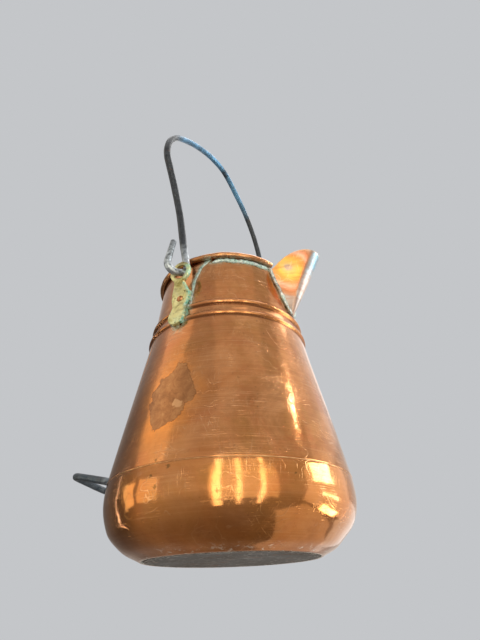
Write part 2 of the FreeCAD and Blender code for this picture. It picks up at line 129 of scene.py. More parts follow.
class Mat:
    def __init__(self, name, metallic=0.0):
        self.m = bpy.data.materials.new(name)
        self.m.use_nodes = True
        self.nt = self.m.node_tree
        self.nt.nodes.clear()
        self.out = self.nt.nodes.new("ShaderNodeOutputMaterial")
        self.b = self.nt.nodes.new("ShaderNodeBsdfPrincipled")
        self.nt.links.new(self.b.outputs[0], self.out.inputs[0])
        self.b.inputs["Metallic"].default_value = metallic
        self.co = self.nt.nodes.new("ShaderNodeTexCoord").outputs["Object"]

    def put(self, sock, v):
        if isinstance(v, bpy.types.NodeSocket):
            self.nt.links.new(v, sock)
        else:
            sock.default_value = v

    def set(self, name, v):
        self.put(self.b.inputs[name], v)

    def noise(self, scale, detail=3.0, rough=0.5, dist=0.0, vec=None):
        n = self.nt.nodes.new("ShaderNodeTexNoise")
        self.put(n.inputs["Vector"], vec or self.co)
        n.inputs["Scale"].default_value = scale
        n.inputs["Detail"].default_value = detail
        n.inputs["Roughness"].default_value = rough
        n.inputs["Distortion"].default_value = dist
        return n.outputs["Fac"]

    def vor(self, scale, feature="F1", vec=None, rand=1.0):
        n = self.nt.nodes.new("ShaderNodeTexVoronoi")
        n.feature = feature
        self.put(n.inputs["Vector"], vec or self.co)
        n.inputs["Scale"].default_value = scale
        n.inputs["Randomness"].default_value = rand
        return n.outputs["Distance"]

    def map(self, scale=(1, 1, 1), rot=(0, 0, 0), loc=(0, 0, 0), vec=None):
        n = self.nt.nodes.new("ShaderNodeMapping")
        self.put(n.inputs["Vector"], vec or self.co)
        n.inputs["Scale"].default_value = scale
        n.inputs["Rotation"].default_value = rot
        n.inputs["Location"].default_value = loc
        return n.outputs["Vector"]

    def attr(self, name):
        n = self.nt.nodes.new("ShaderNodeAttribute")
        n.attribute_name = name
        return n.outputs["Fac"]

    def xyz(self, x, y, z):
        n = self.nt.nodes.new("ShaderNodeCombineXYZ")
        for s, v in zip(n.inputs, (x, y, z)):
            self.put(s, v)
        return n.outputs[0]

    def sep(self, vec=None):
        n = self.nt.nodes.new("ShaderNodeSeparateXYZ")
        self.put(n.inputs[0], vec or self.co)
        return n.outputs

    def ramp(self, fac, stops, interp="LINEAR"):
        n = self.nt.nodes.new("ShaderNodeValToRGB")
        n.color_ramp.interpolation = interp
        e = n.color_ramp.elements
        while len(e) > 1:
            e.remove(e[-1])
        e[0].position = stops[0][0]
        e[0].color = stops[0][1] if not isinstance(stops[0][1], (int, float)) else (stops[0][1],) * 3 + (1,)
        for p, c in stops[1:]:
            k = e.new(p)
            k.color = c if not isinstance(c, (int, float)) else (c, c, c, 1)
        self.put(n.inputs[0], fac)
        return n.outputs["Color"]

    def rmp(self, fac, a, b, lo=0.0, hi=1.0, smooth=False):
        n = self.nt.nodes.new("ShaderNodeMapRange")
        if smooth:
            n.interpolation_type = "SMOOTHSTEP"
        self.put(n.inputs["Value"], fac)
        n.inputs["From Min"].default_value = a
        n.inputs["From Max"].default_value = b
        n.inputs["To Min"].default_value = lo
        n.inputs["To Max"].default_value = hi
        return n.outputs["Result"]

    def mix(self, fac, a, b, mode="MIX"):
        n = self.nt.nodes.new("ShaderNodeMix")
        n.data_type = "RGBA"
        n.blend_type = mode
        self.put(n.inputs[0], fac)
        self.put(n.inputs[6], a)
        self.put(n.inputs[7], b)
        return n.outputs[2]

    def op(self, o, a, b=0.0, clamp=False):
        n = self.nt.nodes.new("ShaderNodeMath")
        n.operation = o
        n.use_clamp = clamp
        self.put(n.inputs[0], a)
        self.put(n.inputs[1], b)
        return n.outputs[0]

    def bump(self, height, dist, strength=1.0, normal=None):
        n = self.nt.nodes.new("ShaderNodeBump")
        self.put(n.inputs["Height"], height)
        n.inputs["Distance"].default_value = dist
        n.inputs["Strength"].default_value = strength
        if normal:
            self.put(n.inputs["Normal"], normal)
        return n.outputs["Normal"]


def scratches(M, density=0.62):
    """hairline scratches in several directions, 0..1"""
    out = None
    for rot, sc_, dist in (((0.0, 0.25, 0.4), (16, 16, 2100), 0.3), ((0.9, 0.3, 0.0), (55, 1900, 45), 1.6),
                           ((0.2, 0.0, 1.2), (1700, 40, 80), 1.2), ((1.2, 0.8, 0.5), (45, 45, 1800), 2.4)):
        v = M.map(scale=sc_, rot=rot)
        n = M.noise(1.0, 1.0, 0.4, dist, v)
        k = M.rmp(n, density + 0.03, density + 0.12)
        out = k if out is None else M.op("MAXIMUM", out, k)
    m = M.rmp(M.noise(55.0, 3.0, 0.6), 0.46, 0.62)
    out = M.op("MULTIPLY", out, m)
    # loose curling hairlines
    wv = M.nt.nodes.new("ShaderNodeVectorMath")
    wv.operation = "MULTIPLY_ADD"
    nn = M.nt.nodes.new("ShaderNodeTexNoise")
    nn.inputs["Scale"].default_value = 60.0
    nn.inputs["Detail"].default_value = 2.0
    M.put(nn.inputs["Vector"], M.co)
    M.put(wv.inputs[0], nn.outputs["Color"])
    wv.inputs[1].default_value = (0.020, 0.020, 0.020)
    M.put(wv.inputs[2], M.co)
    for sc_, loc, lo, rr_ in ((40.0, (0.0, 0.0, 0.0), 0.54, 0.40), (62.0, (3.0, 1.0, 2.0), 0.56, 0.45)):
        d = M.vor(sc_, "F1", M.map(loc=loc, vec=wv.outputs[0]))
        k = M.rmp(M.op("ABSOLUTE", M.op("SUBTRACT", d, rr_)), 0.0085, 0.0035)
        k = M.op("MULTIPLY", k, M.rmp(M.noise(38.0, 3.0, 0.6, 0.0, M.map(loc=(loc[0] + 4, 8, 1))), lo, lo + 0.05))
        out = M.op("MAXIMUM", out, k)
    return out


def copper(name, body=True, dark=0.0):
    M = Mat(name, 1.0)
    big = M.noise(9.0, 3.0, 0.55, 0.6)
    mid = M.noise(34.0, 5.0, 0.62, 0.9, M.map(loc=(3.1, 0.4, 1.7)))
    fine = M.noise(260.0, 4.0, 0.65)
    tone = M.op("ADD", M.op("MULTIPLY", big, 0.6), M.op("MULTIPLY", mid, 0.4))
    col = M.ramp(tone, [(0.30, C(158, 100, 64)), (0.43, C(184, 122, 78)), (0.52, C(202, 140, 93)),
                        (0.62, C(212, 153, 105)), (0.75, C(222, 167, 122))])
    # brown tarnish clouds
    tarn = M.rmp(M.noise(17.0, 6.0, 0.66, 1.2, M.map(loc=(7, 2, 5))), 0.46, 0.66)
    col = M.mix(M.op("MULTIPLY", tarn, 0.52 + dark), col, C(136, 88, 54))
    redc = M.rmp(M.noise(21.0, 5.0, 0.64, 1.0, M.map(loc=(2, 9, 4))), 0.50, 0.66)
    col = M.mix(M.op("MULTIPLY", redc, 0.42), col, C(186, 100, 62))
    oliv = M.rmp(M.noise(24.0, 5.0, 0.64, 1.0, M.map(loc=(8, 3, 6))), 0.52, 0.66)
    col = M.mix(M.op("MULTIPLY", oliv, 0.40), col, C(172, 124, 70))
    # circumferential polishing lines
    lines = M.noise(1.0, 3.0, 0.6, 0.0, M.map(scale=(9, 9, 620)))
    lines2 = M.noise(1.0, 2.0, 0.6, 0.0, M.map(scale=(22, 22, 1500), loc=(1, 2, 3)))
    col = M.mix(M.rmp(lines, 0.42, 0.64, 0.0, 0.22), col, C(158, 100, 64))
    col = M.mix(M.rmp(lines2, 0.55, 0.75, 0.0, 0.28), col, C(232, 180, 132))
    specks = M.rmp(M.noise(420.0, 2.0, 0.5), 0.66, 0.74)
    col = M.mix(M.op("MULTIPLY", specks, 0.35), col, C(104, 66, 46))
    rough = M.rmp(M.op("ADD", M.op("MULTIPLY", mid, 0.6), M.op("MULTIPLY", fine, 0.4)), 0.35, 0.65, 0.10, 0.21)
    low = M.rmp(M.sep()[2], 0.046, 0.060, 0.66, 1.0)
    # darker towards the foot: painted dark reflection of the surroundings
    foot_painted_dark_reflection = M.op("MULTIPLY", M.rmp(M.sep()[2], 0.016, 0.002), M.rmp(M.noise(45.0, 5.0, 0.65, 0.6), 0.30, 0.60), clamp=True)
    col = M.mix(M.op("MULTIPLY", foot_painted_dark_reflection, 0.55), col, C(112, 66, 38))
    tinsp = M.op("MULTIPLY", M.rmp(M.sep()[2], 0.0048, 0.0012), M.rmp(M.noise(210.0, 5.0, 0.7, 0.5), 0.58, 0.62), clamp=True)
    col = M.mix(tinsp, col, C(222, 214, 202))
    rough = M.op("MULTIPLY", rough, low)
    scr = scratches(M)
    col = M.mix(M.op("MULTIPLY", scr, 0.26), col, C(244, 208, 170))
    if body:
        # deeper golden orange on the bowl and round the bare patch on the side of the body
        gold = M.op("MULTIPLY", M.attr("gold"), M.rmp(M.noise(26.0, 4.0, 0.6, 0.6, M.map(loc=(5, 5, 1))), 0.30, 0.62, 0.35, 1.0), clamp=True)
        col = M.mix(M.op("MULTIPLY", gold, 0.85), col, M.mix(tone, C(190, 112, 46), C(228, 152, 76)))
        # dirt and painted shade in the corners of beads, seam and rim
        dirt_and_shade = M.op("MULTIPLY", M.attr("dirt_and_shade"), M.rmp(mid, 0.25, 0.62, 0.35, 1.0), clamp=True)
        col = M.mix(dirt_and_shade, col, C(92, 58, 40))
        # bright zone around the bare patch, where the patina has been disturbed
        halo = M.op("MULTIPLY", M.attr("halo"), M.rmp(M.noise(90.0, 4.0, 0.6), 0.35, 0.60), clamp=True)
        col = M.mix(M.op("MULTIPLY", halo, 0.62), col, C(232, 146, 72))
        # the brown patch itself
        edge = M.op("ADD", M.attr("patch"), M.rmp(M.noise(330.0, 4.0, 0.7), 0.3, 0.7, -1.3, 1.3))
        pin = M.rmp(edge, 0.35, -0.35)
        pcol = M.ramp(M.noise(150.0, 5.0, 0.7, 0.6), [(0.30, C(146, 98, 62)), (0.48, C(168, 114, 72)),
                                                       (0.60, C(182, 128, 82)), (0.72, C(196, 144, 96))])
        edge2 = M.op("ADD", M.attr("patch_in"), M.rmp(M.noise(300.0, 3.0, 0.7), 0.3, 0.7, -0.8, 0.8))
        pcol = M.mix(M.rmp(edge2, 0.3, -0.3, 0.0, 0.8), pcol, C(212, 160, 112))
        rim_e = M.rmp(M.op("ABSOLUTE", edge), 0.60, 0.10)
        col = M.mix(pin, col, pcol)
        col = M.mix(M.op("MULTIPLY", rim_e, 0.55), col, C(120, 74, 44))
        rough = M.op("ADD", rough, M.op("MULTIPLY", pin, 0.16))
        # black-brown spots
        sp_ = M.rmp(M.op("ADD", M.attr("spots"), M.rmp(M.noise(500.0, 3.0, 0.6), 0.3, 0.7, -0.9, 0.9)), 0.4, -0.4)
        col = M.mix(M.op("MULTIPLY", sp_, 0.7), col, C(122, 88, 50))
        # pink heat tint by the soldered work, a painted highlight on the bead crests, and verdigris by the soldered
        # work
        heat = M.op("MULTIPLY", M.attr("heat"), M.rmp(M.noise(120.0, 4.0, 0.6, 0.8), 0.36, 0.62), clamp=True)
        col = M.mix(M.op("MULTIPLY", heat, 0.45), col, C(234, 180, 148))
        vd = M.op("MULTIPLY", M.attr("verd"), M.rmp(M.noise(240.0, 5.0, 0.7, 0.4), 0.40, 0.56), clamp=True)
        col = M.mix(vd, col, M.ramp(M.noise(420.0, 3.0, 0.6), [(0.35, C(96, 138, 122)), (0.5, C(150, 182, 160)),
                                                              (0.65, C(206, 214, 196))]))
        M.set("Metallic", M.op("SUBTRACT", 1.0, M.op("MULTIPLY", vd, 0.9), clamp=True))
        rough = M.op("ADD", rough, M.op("MULTIPLY", vd, 0.35), clamp=True)
        rough = M.op("ADD", rough, M.op("MULTIPLY", dirt_and_shade, 0.2), clamp=True)
    M.set("Base Color", col)
    M.set("Roughness", rough)
    h = M.op("ADD", M.op("MULTIPLY", lines, 0.5), M.op("MULTIPLY", fine, 0.5))
    nb = M.bump(h, 0.00008, 0.45)
    nb = M.bump(M.noise(48.0, 2.0, 0.5, 0.0), 0.0016, 0.22, nb)
    nb = M.bump(scr, 0.00005, 0.5, nb)
    M.set("Normal", nb)
    return M.m


def tinned():
    """dull inside of the can: old tinning worn to brown"""
    M = Mat("tinned_inside", 0.9)
    a = M.noise(22.0, 6.0, 0.68, 1.0)
    col = M.ramp(a, [(0.30, C(74, 58, 48)), (0.45, C(112, 96, 82)), (0.56, C(140, 128, 114)),
                     (0.66, C(128, 88, 62)), (0.78, C(150, 96, 64))])
    st = M.noise(1.0, 4.0, 0.6, 0.0, M.map(scale=(60, 60, 7)))
    col = M.mix(M.rmp(st, 0.50, 0.70, 0.0, 0.6), col, C(70, 56, 46))
    sp_ = M.rmp(M.noise(300.0, 3.0, 0.6), 0.60, 0.72)
    col = M.mix(M.op("MULTIPLY", sp_, 0.7), col, C(58, 46, 40))
    M.set("Base Color", col)
    M.set("Roughness", M.rmp(a, 0.3, 0.7, 0.42, 0.62))
    M.set("Normal", M.bump(M.noise(320.0, 5.0, 0.7), 0.0003, 0.5))
    return M.m


def base_metal():
    M = Mat("base_grey", 0.85)
    a = M.noise(30.0, 6.0, 0.68, 0.8)
    col = M.ramp(a, [(0.30, C(40, 35, 31)), (0.46, C(66, 60, 54)), (0.58, C(92, 85, 77)),
                     (0.72, C(98, 72, 52))])
    sx = M.sep()
    rr = M.op("SQRT", M.op("ADD", M.op("MULTIPLY", sx[0], sx[0]), M.op("MULTIPLY", sx[1], sx[1])))
    ring = M.noise(1.0, 3.0, 0.6, 0.0, M.xyz(M.op("MULTIPLY", rr, 900.0), M.op("MULTIPLY", sx[0], 9.0), M.op("MULTIPLY", sx[1], 9.0)))
    col = M.mix(M.rmp(ring, 0.48, 0.68, 0.0, 0.5), col, C(96, 92, 88))
    scr = scratches(M, 0.60)
    col = M.mix(M.op("MULTIPLY", scr, 0.6), col, C(206, 204, 200))
    wear = M.rmp(M.noise(70.0, 5.0, 0.7), 0.56, 0.66)
    col = M.mix(M.op("MULTIPLY", wear, 0.55), col, C(150, 98, 66))
    edge = M.rmp(rr, 0.050, 0.0602)
    fl = M.op("ADD", M.noise(190.0, 5.0, 0.72, 0.5, M.map(loc=(4, 1, 0))), M.op("MULTIPLY", edge, 0.13))
    fl = M.rmp(fl, 0.60, 0.64)
    col = M.mix(M.op("MULTIPLY", fl, 0.92), col, C(226, 222, 212))
    M.set("Base Color", col)
    M.set("Metallic", M.op("SUBTRACT", 0.85, M.op("MULTIPLY", fl, 0.7), clamp=True))
    M.set("Roughness", M.rmp(a, 0.3, 0.7, 0.38, 0.62))
    hb = M.op("ADD", M.op("MULTIPLY", ring, 0.5), M.noise(500.0, 4.0, 0.6))
    M.set("Normal", M.bump(M.op("ADD", hb, M.op("MULTIPLY", fl, 0.8)), 0.0004, 0.6))
    return M.m


def solder(name="solder_white", green=0.35):
    M = Mat(name, 0.75)
    a = M.noise(210.0, 5.0, 0.68, 0.5)
    col = M.ramp(a, [(0.28, C(104, 108, 104)), (0.42, C(164, 168, 162)), (0.55, C(212, 214, 208)),
                     (0.70, C(236, 236, 230))])
    g = M.rmp(M.noise(120.0, 5.0, 0.7, 0.6, M.map(loc=(2, 7, 1))), 0.60 - green * 0.28, 0.66)
    gcol = M.ramp(M.noise(500.0, 3.0, 0.6), [(0.35, C(120, 172, 152)), (0.55, C(172, 212, 192)), (0.70, C(222, 234, 218))])
    col = M.mix(M.op("MULTIPLY", g, 0.9), col, gcol)
    cu = M.rmp(M.noise(170.0, 4.0, 0.65, 0.6, M.map(loc=(5, 1, 9))), 0.58, 0.66)
    col = M.mix(M.op("MULTIPLY", cu, 0.6), col, C(176, 108, 70))
    pit = M.rmp(M.noise(700.0, 2.0, 0.5), 0.62, 0.72)
    col = M.mix(M.op("MULTIPLY", pit, 0.7), col, C(66, 62, 54))
    M.set("Base Color", col)
    M.set("Metallic", M.rmp(g, 0.0, 1.0, 0.8, 0.05))
    M.set("Roughness", M.rmp(a, 0.3, 0.7, 0.55, 0.34))
    M.set("Normal", M.bump(M.op("ADD", a, M.op("MULTIPLY", pit, -0.6)), 0.0005, 0.6))
    return M.m


def braze():
    M = Mat("braze_line", 1.0)
    a = M.noise(140.0, 5.0, 0.66, 0.5)
    col = M.ramp(a, [(0.30, C(176, 118, 76)), (0.46, C(200, 140, 92)), (0.60, C(218, 164, 112)), (0.74, C(232, 186, 134))])
    M.set("Base Color", col)
    M.set("Roughness", M.rmp(a, 0.3, 0.7, 0.42, 0.28))
    M.set("Normal", M.bump(M.noise(480.0, 4.0, 0.65), 0.0002, 0.5))
    return M.m


def brass():
    M = Mat("pitted_brass", 0.9)
    a = M.noise(85.0, 6.0, 0.70, 0.7)
    col = M.ramp(a, [(0.26, C(112, 98, 50)), (0.37, C(180, 166, 98)), (0.47, C(224, 214, 152)),
                     (0.58, C(228, 220, 160)), (0.72, C(240, 234, 190))])
    pits = M.rmp(M.vor(330.0), 0.32, 0.12)
    pm = M.rmp(M.noise(120.0, 4.0, 0.6, 0.0, M.map(loc=(1, 5, 2))), 0.42, 0.58)
    pits = M.op("MULTIPLY", pits, pm)
    col = M.mix(M.op("MULTIPLY", pits, 0.8), col, C(60, 48, 26))
    g = M.op("MULTIPLY", M.attr("verd"), M.rmp(M.noise(190.0, 5.0, 0.7, 0.6), 0.38, 0.54), clamp=True)
    gcol = M.ramp(M.noise(420.0, 3.0, 0.6), [(0.32, C(84, 172, 150)), (0.50, C(136, 212, 190)), (0.68, C(214, 234, 218))])
    col = M.mix(g, col, gcol)
    br = M.rmp(M.noise(55.0, 4.0, 0.6, 0.5, M.map(loc=(9, 3, 4))), 0.55, 0.66)
    col = M.mix(M.op("MULTIPLY", br, 0.6), col, C(112, 74, 40))
    M.set("Base Color", col)
    M.set("Metallic", M.op("SUBTRACT", 0.92, M.op("MULTIPLY", g, 0.85), clamp=True))
    M.set("Roughness", M.op("ADD", M.rmp(a, 0.3, 0.7, 0.50, 0.32), M.op("MULTIPLY", g, 0.3), clamp=True))
    h = M.op("ADD", M.noise(230.0, 5.0, 0.7), M.op("MULTIPLY", pits, -1.2))
    M.set("Normal", M.bump(h, 0.0008, 0.75))
    return M.m


def iron(name="black_iron", blue_painted_reflection=True):
    M = Mat(name, 0.75)
    a = M.noise(75.0, 6.0, 0.70, 0.5)
    col = M.ramp(a, [(0.30, C(14, 15, 19)), (0.48, C(26, 28, 34)), (0.60, C(38, 42, 50)), (0.74, C(58, 63, 72))])
    if blue_painted_reflection:
        # painted reflection of a blue light on the bail near its apex
        hi = M.op("MULTIPLY", M.attr("blue_painted_reflection"), M.rmp(M.noise(60.0, 4.0, 0.6), 0.30, 0.56), clamp=True)
        col = M.mix(M.op("MULTIPLY", hi, 0.92), col, C(88, 142, 178))
    wear = M.op("MULTIPLY", M.attr("wear"), M.rmp(M.noise(260.0, 5.0, 0.72, 0.3), 0.30, 0.56), clamp=True)
    col = M.mix(M.op("MULTIPLY", wear, 0.92), col, C(196, 202, 206))
    spk = M.rmp(M.noise(560.0, 3.0, 0.6), 0.64, 0.72)
    col = M.mix(M.op("MULTIPLY", spk, 0.45), col, C(150, 154, 160))
    rust = M.rmp(M.noise(110.0, 5.0, 0.7, 0.6, M.map(loc=(3, 8, 5))), 0.63, 0.72)
    col = M.mix(M.op("MULTIPLY", rust, 0.45), col, C(96, 62, 44))
    M.set("Base Color", col)
    M.set("Metallic", M.rmp(wear, 0.0, 1.0, 0.55, 0.95))
    M.set("Roughness", M.op("SUBTRACT", M.rmp(a, 0.3, 0.7, 0.46, 0.30), M.op("MULTIPLY", wear, 0.05), clamp=True))
    h = M.op("ADD", M.noise(150.0, 5.0, 0.68), M.op("MULTIPLY", M.noise(620.0, 3.0, 0.6), 0.45))
    M.set("Normal", M.bump(h, 0.0006, 0.7))
    return M.m


def steel():
    M = Mat("worn_steel", 0.95)
    a = M.noise(110.0, 6.0, 0.7, 0.4)
    col = M.ramp(a, [(0.30, C(86, 90, 96)), (0.46, C(138, 142, 148)), (0.60, C(186, 188, 192)), (0.74, C(214, 214, 214))])
    br = M.rmp(M.noise(60.0, 5.0, 0.7, 0.5, M.map(loc=(2, 3, 8))), 0.56, 0.68)
    col = M.mix(M.op("MULTIPLY", br, 0.7), col, C(110, 76, 54))
    M.set("Base Color", col)
    M.set("Roughness", M.rmp(a, 0.3, 0.7, 0.45, 0.28))
    M.set("Normal", M.bump(M.noise(420.0, 5.0, 0.65), 0.0004, 0.6))
    return M.m


def spout_copper():
    """heat-coloured copper: rings of gold, rose and brown round the middle of each side; the pale cyan and pinkish
    white along the ridge are a painted highlight
    """
    M = copper_shell = Mat("heat_tinted_copper_painted_ridge", 1.0)
    ring = M.attr("ring")
    wob = M.rmp(M.noise(45.0, 3.0, 0.5, 0.4), 0.3, 0.7, -0.045, 0.045)
    t = M.op("ADD", ring, wob)
    col = M.ramp(t, [(0.00, C(206, 170, 140)), (0.07, C(186, 158, 142)), (0.13, C(222, 182, 112)), (0.24, C(240, 186, 92)),
                     (0.34, C(236, 162, 82)), (0.44, C(230, 146, 92)), (0.52, C(232, 166, 140)), (0.60, C(222, 144, 112)),
                     (0.68, C(186, 120, 84)), (0.77, C(190, 140, 112)), (0.86, C(160, 178, 184)), (1.0, C(138, 176, 192))])
    # pinkish white on the lower part of the ridge: painted highlight
    ridge_low_painted_highlight = M.op("MULTIPLY", M.rmp(t, 0.80, 0.88), M.rmp(M.sep()[2], 0.219, 0.206), clamp=True)
    col = M.mix(ridge_low_painted_highlight, col, C(214, 196, 186))
    fine = M.noise(260.0, 4.0, 0.65)
    mid = M.noise(40.0, 4.0, 0.6, 0.5)
    lines = M.noise(1.0, 3.0, 0.6, 0.0, M.map(scale=(40, 40, 520), rot=(0.5, 0.6, 0)))
    col = M.mix(M.rmp(lines, 0.45, 0.66, 0.0, 0.35), col, C(170, 98, 58))
    tarn = M.rmp(M.noise(55.0, 6.0, 0.7, 1.0, M.map(loc=(4, 4, 2))), 0.52, 0.68)
    col = M.mix(M.op("MULTIPLY", tarn, 0.30), col, C(170, 108, 74))
    edge = M.op("MULTIPLY", M.attr("edge"), M.rmp(M.noise(300.0, 4.0, 0.7), 0.30, 0.52), clamp=True)
    col = M.mix(edge, col, M.ramp(fine, [(0.35, C(186, 170, 158)), (0.55, C(216, 186, 158)), (0.70, C(232, 180, 132))]))
    foot = M.op("MULTIPLY", M.attr("foot"), M.rmp(M.noise(240.0, 4.0, 0.7), 0.40, 0.56), clamp=True)
    col = M.mix(foot, col, M.ramp(fine, [(0.35, C(150, 158, 150)), (0.55, C(206, 210, 200)), (0.7, C(140, 176, 160))]))
    scr = scratches(M, 0.62)
    col = M.mix(M.op("MULTIPLY", scr, 0.5), col, C(244, 206, 164))
    M.set("Base Color", col)
    M.set("Roughness", M.rmp(M.op("ADD", M.op("MULTIPLY", mid, 0.6), M.op("MULTIPLY", fine, 0.4)), 0.35, 0.65, 0.30, 0.44))
    nb = M.bump(M.op("ADD", M.op("MULTIPLY", lines, 0.5), M.op("MULTIPLY", fine, 0.5)), 0.00012, 0.55)
    nb = M.bump(M.noise(70.0, 2.0, 0.5), 0.0016, 0.25, nb)
    M.set("Normal", nb)
    return M.m


M_CU = copper("aged_copper")
M_RIM = copper("rim_copper", True)
M_RIV = copper("rivet_copper", False, 0.1)
M_TIN = tinned()
M_BASE = base_metal()
M_SOL = solder("solder_grey", 0.30)
M_SOLG = solder("solder_green", 0.75)
M_FLAKE = solder("solder_flakes", 0.0)
M_BRAZE = braze()
M_BRASS = brass()
M_IRON = iron("black_iron", True)
M_WIRE = iron("dark_wire", False)
M_STEEL = steel()
M_SPOUT = spout_copper()


# ------------------------------------------------------------ mesh building
def make(name, verts, faces, mats, node, body="pot", attrs=None, fmat=None,
         sharp=38.0):
    me = bpy.data.meshes.new(name)
    me.from_pydata((np.asarray(verts, float) * S).tolist(), [], faces)
    me.update()
    for k, arr in (attrs or {}).items():
        a = me.attributes.new(k, "FLOAT", "POINT")
        a.data.foreach_set("value", np.asarray(arr, np.float32))
    mats = mats if isinstance(mats, (list, tuple)) else [mats]
    for m in mats:
        me.materials.append(m)
    if fmat is not None:
        me.polygons.foreach_set("material_index", np.asarray(fmat, np.int32))
    bm = bmesh.new()
    bm.from_mesh(me)
    bmesh.ops.recalc_face_normals(bm, faces=bm.faces)
    bad = [e for e in bm.edges if not e.is_manifold]
    if bad:
        print("open or shared edges", name, len(bad))
    bm.to_mesh(me)
    bm.free()
    me.polygons.foreach_set("use_smooth", [True] * len(me.polygons))
    me.set_sharp_from_angle(angle=math.radians(sharp))
    ob = bpy.data.objects.new(name, me)
    sc.collection.objects.link(ob)
    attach(ob, body)
    if node:
        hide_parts(*([node] if isinstance(node, str) else node))
    return ob


def grid_faces(rows, cols, wrap_r, wrap_c, idx=lambda i, j, c: i * c + j):
    out = []
    for i in range(rows if wrap_r else rows - 1):
        i2 = (i + 1) % rows
        for j in range(cols if wrap_c else cols - 1):
            j2 = (j + 1) % cols
            out.append((idx(i, j, cols), idx(i, j2, cols), idx(i2, j2, cols), idx(i2, j, cols)))
    return out


def polar(th, r, z):
    t = np.radians(th)
    return np.stack([r * np.cos(t), r * np.sin(t), z + 0 * t], -1)


def sdist(px, py, poly):
    """signed distance to a polygon, negative inside"""
    P = np.array(poly, float)
    best = np.full(px.shape, 1e9)
    inside = np.zeros(px.shape, bool)
    for a, b in zip(P, np.roll(P, -1, axis=0)):
        e = b - a
        w0, w1 = px - a[0], py - a[1]
        t = np.clip((w0 * e[0] + w1 * e[1]) / (e @ e), 0, 1)
        best = np.minimum(best, np.hypot(w0 - e[0] * t, w1 - e[1] * t))
        c = ((a[1] <= py) & (b[1] > py)) | ((b[1] <= py) & (a[1] > py))
        xi = a[0] + (py - a[1]) / (b[1] - a[1] + 1e-12) * e[0]
        inside ^= c & (px < xi)
    return np.where(inside, -best, best)


def ldist(px, py, line):
    best = np.full(px.shape, 1e9)
    for a, b in zip(np.array(line[:-1], float), np.array(line[1:], float)):
        e = b - a
        w0, w1 = px - a[0], py - a[1]
        t = np.clip((w0 * e[0] + w1 * e[1]) / (e @ e), 0, 1)
        best = np.minimum(best, np.hypot(w0 - e[0] * t, w1 - e[1] * t))
    return best


PATCH = [(-82.86, 119.73), (-84.64, 114.14), (-86.51, 111.53), (-89.1, 108.77), (-92.4, 109.15),
         (-93.76, 107.61), (-93.59, 103.21), (-96.71, 101.77), (-97.97, 99.64), (-95.71, 92.51),
         (-98.02, 91.27), (-95.96, 84.03), (-93.49, 76.89), (-91.28, 70.53), (-89.37, 69.5),
         (-86.42, 70.89), (-82.75, 72.97), (-79.69, 74.13), (-77.71, 76.83), (-76.37, 80.11),
         (-76.4, 83.43), (-75.18, 85.39), (-72.36, 85.83), (-70.5, 91.39), (-73.1, 99.49),
         (-74.58, 105.81), (-76.33, 111.42), (-77.81, 115.68)]
PATCH_IN = [(-82.65, 85.63), (-81.58, 89.52), (-77.28, 86.22), (-77.76, 82.55), (-83.11, 84.52)]
SPOTS = [(-85.42, 49.06, 1.0), (-79.42, 44.1, 1.3), (-86.88, 39.94, 0.9), (-84.43, 33.72, 1.5),
         (-60.0, 28.0, 0.8), (-30.0, 38.0, 0.9), (-112.0, 70.0, 1.1), (20.0, 90.0, 1.2), (75.0, 60.0, 1.4),
         (140.0, 100.0, 1.3), (205.0, 40.0, 1.5), (175.0, 130.0, 1.0)]
SMEAR = [(-68.6, 218.4), (-72.3, 216.0), (-75.9, 211.6), (-78.4, 206.0), (-80.6, 199.6),
         (-81.6, 191.9), (-82.2, 182.5), (-82.8, 172.4)]
KD = 1.38          # mm of arc per degree at the patch


def wrap(th):
    return (np.asarray(th) + 180.0) % 360.0 - 180.0


def spout_wz(z):
    return np.interp(z, [175.0, 179.5, 186.2, 190.1, 197.8, 202.4, 210.2, 216.0, 232.0],
                     [0.9, 3.6, 7.6, 9.9, 12.8, 15.0, 17.3, 18.7, 20.8])


